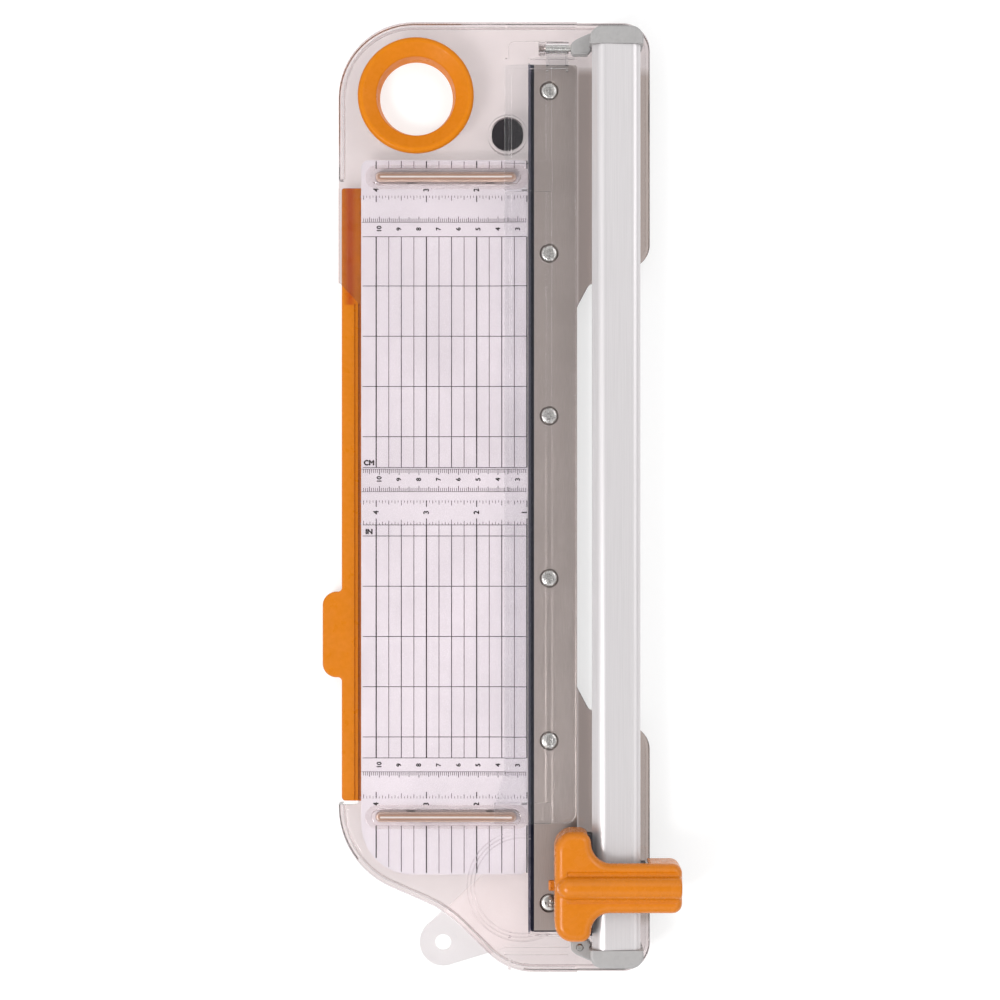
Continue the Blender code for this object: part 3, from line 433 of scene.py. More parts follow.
def smoky_deck():
    """The deck's clear plastic, smokier and with painted shade from the rail where the low wings carry it,
    deeper painted shade on the shelf under the rail, a dark line along the channel wall beside the bed, and
    painted shade lines round the finger well's steps.
    """
    paint = clear_plastic("clear_base", (0.77, 0.70, 0.70), (0.965, 0.955, 0.955))
    # Painted shade from the rail, with a smokier tint for the doubled walls, over the low wings right of the
    # plate, and deeper painted shade on the shelf under the rail.
    wing_smoke_and_shade = paint.zone("X", (EDGE_X, EDGE_X + 1.5 * mm, 1, 2))
    between = paint.zone("Y", (-218 * mm, -213 * mm, 213 * mm, 218 * mm))
    paint.tint(paint.product(wing_smoke_and_shade, between), (0.53, 0.455, 0.425), 1.0, (0, 1))
    shelf_shade = paint.zone("X", (EDGE_X, EDGE_X + 1.5 * mm, 46 * mm, 50 * mm))
    paint.tint(paint.product(shelf_shade, between), (0.41, 0.345, 0.325), 1.0, (0, 1))
    wall = paint.zone("X", (BED_LOW.x - 1.3 * mm, BED_LOW.x - 1.2 * mm, BED_LOW.x, BED_LOW.x + 0.1 * mm))
    along = paint.zone("Y", (BED_LOW.y - mm, BED_LOW.y, BED_HIGH.y, BED_HIGH.y + mm))
    paint.tint(paint.product(wall, along), (0.12, 0.11, 0.15), 1.0, (0, 1))
    # Painted shade lines round the edges of the finger well's steps.
    reach = paint.from_point((*WELL_CENTRE, DECK_TOP))
    front = paint.zone("Y", (-2, -1, -174 * mm, -170 * mm))
    for radius, depth in WELL_STEPS:
        line = paint.band(reach, (radius - 0.6 * mm, radius - 0.25 * mm, radius, radius + 0.3 * mm))
        paint.tint(paint.product(line, front), (0.58, 0.51, 0.52), 0.75, (0, 1))
    return paint.material


def moulded(name, colour, roughness, specular=0.32):
    """Opaque moulded plastic: fine spark-eroded grain, soft flow marks and a little wear."""
    paint = Paint(name, colour, roughness, IOR=1.5, Specular_IOR_Level=specular)
    darker = tuple(0.86 * channel for channel in colour)
    lighter = tuple(min(1.0, 1.06 * channel + 0.01) for channel in colour)
    paint.tint(paint.noise(22 * mm, 3, (1, 0.4, 1)), darker, 0.35)
    paint.tint(paint.noise(2.2 * mm, 2), lighter, 0.4)
    paint.rough(paint.noise(5 * mm, 5), roughness * 0.8, roughness * 1.3)
    paint.bump(paint.noise(0.55 * mm, 2), 0.006 * mm)
    paint.bump(paint.noise(9 * mm, 1), 0.03 * mm, 0.6)
    return paint


def arm_plastic():
    """Orange plastic with a darker band of painted shade along the part of the arm that lies under the deck
    behind the opening.
    """
    paint = moulded("orange_satin", (0.58, 0.17, 0.004), 0.33, 0.2)
    # Painted shade: a dark red band along the arm where it lies under the deck.
    band = paint.zone("X", (-79.5 * mm, -76.5 * mm, -75.5 * mm, -72.5 * mm))
    covered = paint.zone("Y", (97 * mm, 98 * mm, 1, 2))
    paint.tint(paint.product(band, covered), (0.40, 0.05, 0.006), 0.8, (0, 1))
    return paint.material


def milky_plastic():
    """Unfilled white plastic that lets some light through, with painted shade darkening the part that sticks
    out of the base.
    """
    paint = Paint("white_plastic", (0.93, 0.915, 0.915), 0.4, IOR=1.49, Transmission_Weight=0.75)
    paint.tint(paint.noise(12 * mm, 3), (0.90, 0.885, 0.885), 0.6)
    # Painted shade on the part of the tab that sticks out of the base.
    outer = paint.zone("X", (-2, -1, -184 * mm, -181.5 * mm), math.radians(-51.6))
    paint.tint(outer, (0.68, 0.65, 0.655), 1.0, (0, 1))
    paint.rough(paint.noise(3 * mm, 3), 0.34, 0.46)
    paint.bump(paint.noise(0.5 * mm, 2), 0.004 * mm)
    paint.see_through((0.95, 0.94, 0.94))
    return paint.material


def drawn_metal(name, colour, roughness, stretch, size=0.35 * mm, depth=0.002 * mm, marks=0.3):
    """Metal with grain along one way, a few handling marks and uneven sheen."""
    paint = Paint(name, colour, roughness, 1.0)
    grain = paint.noise(size, 3, stretch)
    paint.tint(grain, tuple(0.86 * channel for channel in colour), 0.5)
    paint.tint(paint.noise(30 * mm, 2), tuple(0.9 * channel for channel in colour), marks)
    paint.rough(grain, roughness * (1 - marks / 4), roughness * (1 + marks / 3))
    paint.bump(grain, depth)
    return paint.material


def paper_material():
    paint = Paint("printed_sheet", (0.83, 0.87, 0.93), 0.42, IOR=1.45)
    paint.tint(paint.noise(25 * mm, 3), (0.81, 0.85, 0.91), 0.7)
    paint.tint(paint.noise(0.25 * mm, 2), (0.85, 0.89, 0.95), 0.5)
    paint.rough(paint.noise(1.2 * mm, 3), 0.36, 0.5)
    paint.bump(paint.noise(0.18 * mm, 3), 0.004 * mm)
    return paint.material


def ink_material(name, colour):
    paint = Paint(name, colour, 0.5)
    paint.tint(paint.noise(0.3 * mm, 2), tuple(channel + 0.05 for channel in colour), 0.6)
    paint.rough(paint.noise(0.6 * mm, 2), 0.42, 0.6)
    return paint.material


def rubber_material():
    paint = Paint("rubber", (0.006, 0.005, 0.01), 0.8, Specular_IOR_Level=0.2)
    paint.tint(paint.noise(3 * mm, 4), (0.012, 0.011, 0.016), 0.6)
    paint.rough(paint.noise(1.5 * mm, 4), 0.62, 0.9)
    paint.bump(paint.noise(0.4 * mm, 3), 0.02 * mm)
    return paint.material


def studio_floor_material():
    paint = Paint("studio_floor", (0.42, 0.42, 0.42), 0.7)
    paint.tint(paint.noise(400 * mm, 2), (0.41, 0.41, 0.41), 0.5)
    paint.shader.inputs["Emission Color"].default_value = (1, 1, 1, 1)
    paint.shader.inputs["Emission Strength"].default_value = 0.6
    return paint.material


CLEAR = smoky_deck()
CLEAR_GUIDE = clear_plastic("clear_guide", (0.95, 0.955, 0.96), (0.965, 0.965, 0.97), 0.02).material
CLEAR_FENCE = clear_plastic("clear_fence", (0.95, 0.92, 0.91), (0.965, 0.95, 0.945), 0.02).material
# Opaque pieces inside the clear fence ribs: painted shade for the core and the stem, a painted highlight for
# the line along the top.
TAN_PAINTED_SHADE = moulded("fence_core_painted_shade", (0.34, 0.20, 0.145), 0.4).material
SAND_PAINTED_SHADE = moulded("fence_stem_painted_shade", (0.50, 0.37, 0.32), 0.4).material
PALE_PAINTED_HIGHLIGHT = moulded("fence_line_painted_highlight", (0.62, 0.55, 0.53), 0.4).material
PAPER = paper_material()
INK = ink_material("ink_dark", (0.02, 0.018, 0.025))
INK_MEDIUM = ink_material("ink_medium", (0.07, 0.065, 0.08))
INK_LIGHT = ink_material("ink_light", (0.20, 0.19, 0.21))
ORANGE = moulded("orange_plastic", (0.58, 0.17, 0.004), 0.25).material
ORANGE_RING = moulded("orange_ring", (0.62, 0.185, 0.003), 0.34, 0.12).material
ORANGE_SATIN = arm_plastic()
GREY = moulded("grey_plastic", (0.36, 0.352, 0.35), 0.28).material
DARK = moulded("dark_plastic", (0.035, 0.034, 0.038), 0.45).material
WHITE = milky_plastic()
STRIP = moulded("black_strip", (0.006, 0.006, 0.016), 0.6, 0.12).material
ALUMINIUM = drawn_metal("rail_aluminium", (0.66, 0.635, 0.645), 0.36, (1, 0.01, 1), marks=0.1)
ALUMINIUM.node_tree.nodes["Principled BSDF"].inputs["Metallic"].default_value = 0.4
PLATE = drawn_metal("plate_steel", (0.365, 0.31, 0.29), 0.46, (1, 0.05, 1), marks=0.3)
BRIGHT = drawn_metal("bright_steel", (0.62, 0.60, 0.58), 0.28, (1, 1, 1), 0.8 * mm)
DULL = drawn_metal("dull_zinc", (0.85, 0.82, 0.81), 0.6, (1, 1, 1), 0.8 * mm)
DULL.node_tree.nodes["Principled BSDF"].inputs["Metallic"].default_value = 0.1
BLADE_STEEL = drawn_metal("blade_steel", (0.66, 0.66, 0.67), 0.2, (1, 1, 1), 0.5 * mm)
RUBBER = rubber_material()


# Base --------------------------------------------------------------------------------------

BASE_LEFT, BASE_RIGHT, HALF = BASE_LOW.x, BASE_HIGH.x, BASE_HIGH.y
SKIRT_BOTTOM = DECK_TOP - 12 * mm
WALL = 2 * mm
CHANNEL_LEFT, CHANNEL_HALF = BED_LOW.x - GAP, 221.2 * mm
CHANNEL_WALL = 1 * mm
RIM = 4.2 * mm
RIM_DROP = 0.6 * mm
FAR = 0.3


def base_corners():
    """The base's outline, anticlockwise from the rear left."""
    def wing(side):
        return [(BASE_RIGHT, side * 119.5 * mm, 12 * mm), (45 * mm, side * 107.5 * mm, 4 * mm),
                (EDGE_X, side * 96 * mm, 6 * mm)]

    return ([(BASE_LEFT, HALF, 38 * mm), (BASE_LEFT, -185.5 * mm, 44 * mm),
             (-27.1 * mm, -209.2 * mm, 60 * mm), (3.7 * mm, -HALF, 33 * mm),
             (BASE_RIGHT, -HALF, 14 * mm)]
            + wing(-1) + wing(1)[::-1] + [(BASE_RIGHT, HALF, 14 * mm)])


def plate_screw_places():
    boxes = [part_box(f"plate_screw_{number}") for number in range(1, 7)]
    return [((low.x + high.x) / 2, (low.y + high.y) / 2) for low, high in boxes]


def foot_place(name):
    low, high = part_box(name)
    return (low.x + high.x) / 2, (low.y + high.y) / 2


def foot_cup(name, top):
    place_xy = foot_place(name)
    ring = [circle(place_xy, 10 * mm), circle(place_xy, 8.6 * mm)]
    return prism(ring, (3.4 * mm, top + 0.2 * mm))


def underside():
    inner = rounded(inset(base_corners(), WALL))
    hollow = prism([inner], (0, FLOOR_BOTTOM))
    deep = prism([inner], (-4 * mm, DECK_BOTTOM), 1.6 * mm, edge_steps=6)
    channel_side = CHANNEL_LEFT - CHANNEL_WALL
    middle = CHANNEL_HALF + CHANNEL_WALL
    cut(deep, box((channel_side, 90 * mm), (-middle, middle), (-2 * mm, 20 * mm)))
    cut(deep, box((EDGE_X - CHANNEL_WALL, 90 * mm), (-FAR, FAR), (-2 * mm, 20 * mm)))
    return join(hollow, deep)


def arm_opening():
    front, edge = ARM_LOW.y - 1.2 * mm, -71.5 * mm
    outline = rounded([(-95 * mm, front, 0), (edge, front, 1.5 * mm), (edge, 98 * mm, 4 * mm),
                       (-80.9 * mm, 108 * mm, 1 * mm), (-95 * mm, 108 * mm, 0)], 6)
    opening = prism([outline], (0, 14 * mm))
    return join(opening, box((-95 * mm, -72 * mm), (90 * mm, ARM_HIGH.y + 4 * mm),
                             (-mm, DECK_BOTTOM)))


def finger_well():
    """Three round steps down to the front of the sheet, and two grooves along the front."""
    cuts = [prism([circle(WELL_CENTRE, radius, 128)], (DECK_TOP - depth, 16 * mm), 0.45 * mm,
                  edge_steps=4) for radius, depth in WELL_STEPS]
    for y in (-226.6 * mm, -230.4 * mm):
        outline = racetrack(2 * mm, 35 * mm, y, 1.6 * mm, 12)
        cuts.append(prism([outline], (DECK_TOP - 0.7 * mm, 16 * mm), 0.4 * mm))
    return cuts


def rim_step():
    """What is taken off round the edge of the deck, which leaves the flat a little higher."""
    outer = [(-0.1, -FAR), (0.1, -FAR), (0.1, FAR), (-0.1, FAR)]
    return prism([outer, rounded(inset(base_corners(), RIM))], (DECK_TOP - RIM_DROP, 15 * mm))


def base_deck():
    deck = prism([rounded(base_corners())], (SKIRT_BOTTOM, DECK_TOP - 0.1 * mm), 1.1 * mm, edge_steps=5)
    flat = prism([rounded(inset(base_corners(), RIM))], (DECK_TOP - 3 * mm, DECK_TOP), 0.45 * mm)
    cut(deck, rim_step())
    join(deck, flat)
    cut(deck, underside())
    cut(deck, box((EDGE_X, 90 * mm), (-FAR, FAR), (FLOOR_TOP, 20 * mm)))
    cut(deck, box((CHANNEL_LEFT, 60 * mm), (-CHANNEL_HALF, CHANNEL_HALF), (FLOOR_TOP, 20 * mm)))
    cut(deck, arm_opening(), *finger_well())
    cut(deck, rod("Z", (RING_CENTRE.x, RING_CENTRE.y), 22.9 * mm, (-mm, 20 * mm), 96))
    hinge_pad = rounded([(4.3 * mm, 217 * mm, 2 * mm), (34 * mm, 217 * mm, 2 * mm),
                         (34 * mm, 230 * mm, 3 * mm), (4.3 * mm, 230 * mm, 3 * mm)])
    cut(deck, prism([hinge_pad], (DECK_TOP - 0.7 * mm, 20 * mm), 0.4 * mm))
    for side in (-1, 1):
        slot = racetrack(FENCE_LOW.x + 5.2 * mm, FENCE_HIGH.x - 6.6 * mm, side * FENCE_Y, 5 * mm)
        cut(deck, prism([slot], (DECK_BOTTOM - mm, DECK_TOP + mm)))
    relief = (-72 * mm, 12 * mm), (-245 * mm, -183 * mm), (-mm, TAB_HIGH.z + GAP)
    cut(deck, box(*relief))
    for name, top in (("foot_rear_left", DECK_BOTTOM), ("foot_rear_right", FLOOR_BOTTOM),
                      ("foot_front_right", FLOOR_BOTTOM)):
        join(deck, foot_cup(name, top))
    for x, y in plate_screw_places():
        join(deck, rod("Z", (x, y), 4 * mm, (4 * mm, FLOOR_BOTTOM + 0.2 * mm), 32))
        cut(deck, rod("Z", (x, y), 1.9 * mm, (3 * mm, 12 * mm), 24))
    for number in range(1, 5):
        x, y = foot_place(f"cap_screw_{number}")
        cut(deck, rod("Z", (x, y), 1.9 * mm, (3 * mm, 12 * mm), 24))
    ribs = [((2.6 * mm, 3.8 * mm), (222 * mm, 239 * mm)), ((4.2 * mm, 5.4 * mm), (-239 * mm, -223 * mm))]
    for x, y in ribs:
        join(deck, box(x, y, (7 * mm, DECK_BOTTOM + 0.2 * mm)))
    lug = bake(soften(box((19.4 * mm, 22.8 * mm), (222.4 * mm, 229 * mm),
                          (DECK_TOP - mm, 20 * mm)), 1 * mm, 4))
    join(deck, lug)
    cut(deck, rod("X", (PIN_CENTRE.y, PIN_CENTRE.z), 1.9 * mm, (18 * mm, 24 * mm), 32))
    return place(smooth(deck), "clear_deck", CLEAR, "base", "base_deck", slot="clear_base")


def sheet_outline(margin, front):
    left, right, rear = SHEET_LOW.x + margin, SHEET_HIGH.x, SHEET_HIGH.y - margin
    return rounded([(left, rear, 4 * mm), (left, front, 26 * mm), (right, front, 4 * mm),
                    (right, rear, 4 * mm)])


def scale_sheet():
    slots = [racetrack(FENCE_LOW.x + 5 * mm, FENCE_HIGH.x - 6.4 * mm, side * FENCE_Y, 5.6 * mm)
             for side in (-1, 1)]
    sheet = prism([sheet_outline(0, SHEET_LOW.y)] + slots, (SHEET_LOW.z, SHEET_HIGH.z), 0.06 * mm)
    return place(smooth(sheet), "scale_card", PAPER, "base", "scale_sheet", slot="printed_sheet")


def base_pan():
    low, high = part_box("base_pan")
    plate_low, plate_high = FLOOR_BOTTOM + 0.3 * mm, high.z
    pan = prism([sheet_outline(0.4 * mm, low.y)], (plate_low, plate_high))
    arm_pivot, tab_pivot = foot_place("arm_pivot_screw"), foot_place("tab_rivet")
    join(pan, rod("Z", arm_pivot, 4 * mm, (3.9 * mm, plate_low + 0.2 * mm)),
         rod("Z", tab_pivot, 5 * mm, (4 * mm, plate_low + 0.2 * mm)),
         foot_cup("foot_middle_left", plate_low), foot_cup("foot_front_left", plate_low))
    cut(pan, rod("Z", arm_pivot, 1.8 * mm, (0, 20 * mm), 32),
        rod("Z", tab_pivot, 2.3 * mm, (0, 20 * mm), 32))
    for number in range(1, 5):
        cut(pan, rod("Z", foot_place(f"fence_screw_{number}"), 1.8 * mm, (0, 20 * mm), 24))
    for x in (-52 * mm, -30 * mm, -8 * mm):
        rib = box((x - 0.6 * mm, x + 0.6 * mm), (-120 * mm, 98 * mm), (5.6 * mm, plate_low + 0.2 * mm))
        join(pan, rib)
    bake(soften(pan, 0.2 * mm, 2, 50))
    return place(smooth(pan), "lower_pan", CLEAR, "base", "base_pan", slot="clear_base")


def fence(name, side):
    y = side * FENCE_Y
    left, right = FENCE_LOW.x + 3 * mm, FENCE_HIGH.x - 4.4 * mm
    under, top = DECK_TOP + GAP, FENCE_HIGH.z
    rib = prism([racetrack(left, right, y, 8.6 * mm)], (under - 0.2 * mm, top), 0.9 * mm, edge_steps=4)
    flange = racetrack(FENCE_LOW.x, FENCE_HIGH.x, y, 12 * mm)
    join(rib, prism([flange], (under, under + 0.6 * mm), 0.25 * mm))
    cut(rib, box((-FAR, FAR), (-FAR, FAR), (0, under)))
    inner = racetrack(left + 3.2 * mm, right - 3.2 * mm, y, 3.2 * mm)
    cut(rib, prism([inner], (under - 0.5 * mm, top + mm)))
    bake(soften(rib, 0.15 * mm, 2, 50))
    # An opaque tan core inside the rib: painted shade.
    core = racetrack(left + 3.25 * mm, right - 3.25 * mm, y, 3.1 * mm)
    filling = prism([core], (under - 0.4 * mm, top - 0.9 * mm), 0.2 * mm)
    # An opaque stem from the pan up to the rib: painted shade.
    stem = racetrack(left + 2.4 * mm, right - 2.4 * mm, y, 4.8 * mm)
    stem = prism([stem], (PAN_TOP + GAP, under - 0.1 * mm), 0.15 * mm)
    for number in range(1, 5):
        cut(stem, rod("Z", foot_place(f"fence_screw_{number}"), 1.7 * mm, (5 * mm, under - 0.5 * mm), 24))
    place(smooth(stem), name + "_stem_painted_shade", SAND_PAINTED_SHADE, "base", slot="clear_base")
    # A pale line along the top of the core: a painted highlight.
    line = racetrack(left + 4.5 * mm, right - 4.5 * mm, y, 0.9 * mm, 12)
    place(smooth(prism([line], (top - 0.95 * mm, top - 0.6 * mm), 0.1 * mm)), name + "_line_painted_highlight", PALE_PAINTED_HIGHLIGHT,
          "base", slot="clear_base")
    place(smooth(filling), name + "_core_painted_shade", TAN_PAINTED_SHADE, "base", slot="clear_base")
    return place(smooth(rib), name + "_rib", CLEAR_FENCE, "base", name, slot="clear_base")


PAN_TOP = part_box("base_pan")[1].z


# Print on the sheet ------------------------------------------------------------------------

PRINT_Z = (SHEET_HIGH.z - 0.01 * mm, SHEET_HIGH.z + 0.03 * mm)
LAST_INCH, FIRST_INCH = 4, 1
REAR_BLOCK, FRONT_BLOCK = (131.6 * mm, 14.9 * mm), (-14.1 * mm, -131.9 * mm)


class Print:
    """Gathers thin marks of one ink into one mesh."""

    def __init__(self):
        self.mesh = bmesh.new()

    def mark(self, x, y):
        sides = (x[1] - x[0], y[1] - y[0], PRINT_Z[1] - PRINT_Z[0])
        centre = ((x[0] + x[1]) / 2, (y[0] + y[1]) / 2, sum(PRINT_Z) / 2)
        bmesh.ops.create_cube(self.mesh, size=1, matrix=Matrix.LocRotScale(centre, None, sides))

    def upright(self, x, y, width):
        self.mark((x - width / 2, x + width / 2), (min(y), max(y)))

    def level(self, y, x, width):
        self.mark(x, (y - width / 2, y + width / 2))

    def text(self, words, x, y, height, turned_left=True, weight=0.06):
        """Letters, drawn five times a little apart so that they come out bold."""
        curve = bpy.data.curves.new("numeral", "FONT")
        curve.body = words
        curve.align_x, curve.align_y = "CENTER", "CENTER"
        curve.size = height / 0.72
        curve.extrude = (PRINT_Z[1] - PRINT_Z[0]) / 2
        curve.resolution_u = 4
        drawn = new_object("numeral", curve)
        mesh = evaluated(drawn)
        bpy.data.objects.remove(drawn)
        turn = Matrix.Rotation(math.pi / 2 if turned_left else 0, 4, "Z")
        part = bmesh.new()
        part.from_mesh(mesh)
        bmesh.ops.remove_doubles(part, verts=part.verts, dist=1e-6)
        part.to_mesh(mesh)
        part.free()
        for across, up in ((0, 0), (1, 0), (-1, 0), (0, 1), (0, -1)):
            shift = Vector((x + across * weight * height, y + up * weight * height, sum(PRINT_Z) / 2))
            copy = mesh.copy()
            copy.transform(Matrix.Translation(shift) @ turn)
            self.mesh.from_mesh(copy)

    def finish(self, name, material):
        thing = from_bmesh(name, self.mesh)
        return place(thing, name, material, "base", slot="printed_sheet")


def from_cut(distance):
    """The place along X of a printed distance from the cut line."""
    return CUT_X - distance


def inch_scale(inks, base, way, numbers_y):
    """Sixteenths of an inch that stand on the line base and point the way 1 or -1."""
    dark, medium, light = inks
    heights = {16: 3.3 * mm, 8: 2.6 * mm, 4: 2.1 * mm, 2: 1.6 * mm, 1: 1.1 * mm}
    for step in range(16, 4 * 16 + 6):
        size = next(unit for unit in (16, 8, 4, 2, 1) if step % unit == 0)
        ink = dark if size == 16 else medium if size > 2 else light
        width = 0.5 * mm if size == 16 else 0.32 * mm
        ink.upright(from_cut(step * INCH / 16), (base, base + way * heights[size]), width)
    if numbers_y is not None:
        for number in range(FIRST_INCH, LAST_INCH + 1):
            shift = 1.2 * mm if number == FIRST_INCH else 0
            dark.text(str(number), from_cut(number * INCH) - shift, numbers_y, 2.7 * mm)


def centimetre_scale(inks, base, way, numbers_y):
    dark, medium, light = inks
    for step in range(26, 109):
        size = 10 if step % 10 == 0 else 5 if step % 5 == 0 else 1
        height = {10: 2.9 * mm, 5: 2.5 * mm, 1: 1.9 * mm}[size]
        ink = medium if size > 1 else light
        ink.upright(from_cut(step * mm), (base, base + way * height), 0.36 * mm)
    left, right = from_cut(109 * mm), SHEET_HIGH.x - 0.6 * mm
    light.level(base, (left, right), 0.3 * mm)
    if numbers_y is not None:
        for number in range(3, 11):
            dark.text(str(number), from_cut(number * 10 * mm), numbers_y, 2.4 * mm)


def grid(inks, block, first_level, edges):
    """A block of inch squares with half and quarter inch lines between."""
    dark, medium, light = inks
    left, right = SHEET_LOW.x + 0.8 * mm, SHEET_HIGH.x - 0.6 * mm
    for edge in edges:
        medium.level(edge, (left, right), 0.36 * mm)
    for row in range(4 if block[0] > 0 else 5):
        dark.level(first_level - row * INCH, (left, right), 0.36 * mm)
    for quarter in range(4, 4 * LAST_INCH + 1):
        kind = 0 if quarter % 4 == 0 else 1 if quarter % 2 == 0 else 2
        width = (0.62 * mm, 0.46 * mm, 0.4 * mm)[kind]
        inks[kind].upright(from_cut(quarter * INCH / 4), block, width)


def end_lines(inks, y):
    """The short guide lines beyond each fence."""
    for quarter in range(4, 4 * LAST_INCH + 1):
        kind = 0 if quarter % 4 == 0 else 1 if quarter % 2 == 0 else 2
        width = (0.65 * mm, 0.46 * mm, 0.4 * mm)[kind]
        x = from_cut(quarter * INCH / 4)
        low = max(y[0], sheet_front_at(x) + 0.8 * mm)
        inks[kind].upright(x, (low, y[1]), width)


def sheet_front_at(x):
    """The sheet's front edge, which curves back near its left end."""
    radius = 26 * mm
    centre = SHEET_LOW.x + radius
    if x >= centre:
        return SHEET_LOW.y
    return SHEET_LOW.y + radius - math.sqrt(max(0, radius ** 2 - (centre - x) ** 2))


def sheet_print():
    inks = dark, medium, light = Print(), Print(), Print()
    grid(inks, REAR_BLOCK, 106.7 * mm, REAR_BLOCK)
    grid(inks, FRONT_BLOCK, -19.7 * mm, FRONT_BLOCK)
    end_lines(inks, (165.9 * mm, SHEET_HIGH.y - 0.5 * mm))
    end_lines(inks, (SHEET_LOW.y + 0.5 * mm, -166 * mm))
    inch_scale(inks, 152.4 * mm, -1, 155.3 * mm)
    centimetre_scale(inks, 138.9 * mm, 1, 135.5 * mm)
    centimetre_scale(inks, 14.1 * mm, -1, 8.9 * mm)
    centimetre_scale(inks, 2.7 * mm, 1, None)
    inch_scale(inks, -1.7 * mm, -1, -7.8 * mm)
    inch_scale(inks, -14.1 * mm, 1, None)
    centimetre_scale(inks, -138.9 * mm, -1, -135.5 * mm)
    inch_scale(inks, -152.4 * mm, 1, -155.3 * mm)
    dark.text("CM", -66.2 * mm, 17.2 * mm, 2.6 * mm, False, 0.085)
    dark.text("IN", -66.2 * mm, -17.6 * mm, 2.6 * mm, False, 0.085)
    dark.finish("print_dark", INK)
    medium.finish("print_medium", INK_MEDIUM)
    light.finish("print_light", INK_LIGHT)


# Plate, screws, ring and feet --------------------------------------------------------------

def cutting_plate():
    plate = box((PLATE_LOW.x, PLATE_HIGH.x), (PLATE_LOW.y, PLATE_HIGH.y), (PLATE_LOW.z, PLATE_HIGH.z))
    for spot in plate_screw_places():
        cut(plate, rod("Z", spot, 1.9 * mm, (10 * mm, 14 * mm)),
            rod("Z", spot, 4.1 * mm, (DECK_TOP - 1.3 * mm, DECK_TOP + 0.1 * mm), 64, 4.9 * mm))
    bake(soften(plate, 0.12 * mm, 2, 50))
    return place(smooth(plate), "steel_plate", PLATE, "base", "cutting_plate", slot="plate_steel")


def plate_bed():
    x, y = (BED_LOW.x, BED_HIGH.x), (BED_LOW.y, BED_HIGH.y)
    outline = rounded([(x[0], y[0], mm), (x[1], y[0], mm), (x[1], y[1], mm), (x[0], y[1], mm)], 6)
    holes = [circle(spot, 2 * mm, 32) for spot in plate_screw_places()]
    bed = prism([outline] + holes, (BED_LOW.z, BED_HIGH.z), 0.15 * mm)
    return place(smooth(bed), "bed_strip", STRIP, "base", "plate_bed", slot="black_strip")


def cross_recess(centre, radius, z, way):
    """Two tapered bars that cut a cross slot, widest at the head's face."""
    bars = []
    for turn in (0, math.pi / 2):
        bm = bmesh.new()
        bmesh.ops.create_cone(bm, cap_ends=True, segments=4, radius1=0.35, radius2=0.7071, depth=1)
        size = Matrix.LocRotScale((*centre, z), None, (radius * 1.5, radius * 0.42, 1.6 * mm * way))
        spin = Matrix.Translation((*centre, 0)) @ Matrix.Rotation(turn, 4, "Z") @ Matrix.Translation(
            (-centre[0], -centre[1], 0))
        quarter = Matrix.Rotation(math.pi / 4, 4, "Z")
        bmesh.ops.transform(bm, matrix=spin @ size @ quarter, verts=bm.verts)
        bmesh.ops.recalc_face_normals(bm, faces=bm.faces)
        bars.append(from_bmesh("bar", bm))
    return bars


def screw_piece(node, radius, face_up=True):
    """A pan-head screw in the place and size of its CAD node."""
    low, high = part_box(node)
    centre = ((low.x + high.x) / 2, (low.y + high.y) / 2)
    shank = 0.4 * radius
    thick = 0.24 * radius
    if face_up:
        top = high.z
        profile = [(0, low.z), (shank * 0.5, low.z), (shank, low.z + mm), (shank, top - 1.0 * mm),
                   (radius, top - 1.0 * mm), (radius, top - 0.55 * mm)]
        profile += [(radius * math.cos(a), top - 0.55 * mm + 0.55 * mm * math.sin(a))
                    for a in (0.35, 0.7, 1.0, 1.3)] + [(0, top)]
    else:
        bottom = low.z
        profile = [(0, bottom)] + [(radius * math.cos(a), bottom + 0.7 * mm - 0.7 * mm * math.sin(a))
                                   for a in (1.3, 1.0, 0.7, 0.35)]
        profile += [(radius, bottom + 0.7 * mm), (radius, bottom + 1.6 * mm),
                    (shank, bottom + 1.6 * mm), (shank, high.z - mm), (shank * 0.5, high.z),
                    (0, high.z)]
    head = turned(profile, (*centre, 0), segments=48)
    face = high.z if face_up else low.z
    cut(head, *cross_recess(centre, radius, face, 1 if face_up else -1))
    metal = DULL if node.startswith("fence") else BRIGHT
    return place(smooth(head, 30), node + "_piece", metal, "base", node, slot="bright_steel")


def hang_ring():
    low, top = RING_LOW.z, RING_HIGH.z
    under = DECK_TOP + GAP
    outer, tube, hole = (RING_HIGH.x - RING_LOW.x) / 2, 22.3 * mm, 18.2 * mm
    crown = [(0, 2.0), (0.25, 1.2), (0.7, 0.6), (1.3, 0.2), (2.0, 0), (2.7, 0.1), (3.3, 0.4), (8.7, 3.6),
             (9.1, 4.0), (9.4, 4.6)]
    profile = [(outer, under)] + [(outer - inward * mm, top - down * mm) for inward, down in crown]
    profile += [(19.6 * mm, 8.5 * mm), (19.0 * mm, 5.5 * mm), (hole + 0.4 * mm, 3.4 * mm),
                (hole + 0.3 * mm, 2.8 * mm), (hole + 0.7 * mm, low), (tube - 0.6 * mm, low),
                (tube, low + 0.6 * mm), (tube, under)]
    ring = turned(profile[::-1], (RING_CENTRE.x, RING_CENTRE.y, 0), segments=128)
    return place(smooth(ring, 30), "ring_grommet", ORANGE_RING, "base", "hang_ring", slot="orange_plastic")


def foot(name):
    low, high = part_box(name)
    radius = (high.x - low.x) / 2
    profile = [(0, high.z), (radius, high.z), (radius, 1.2 * mm), (radius - 0.3 * mm, 0.5 * mm),
               (radius - 0.9 * mm, 0.1 * mm), (radius - 1.5 * mm, 0), (5 * mm, 0),
               (4.6 * mm, 0.5 * mm), (0, 0.5 * mm)]
    piece = turned(profile, (*foot_place(name), 0), segments=64)
    return place(smooth(piece, 30), name + "_pad", RUBBER, "base", name, slot="rubber")


# Swing-out arm and hanging tab -------------------------------------------------------------

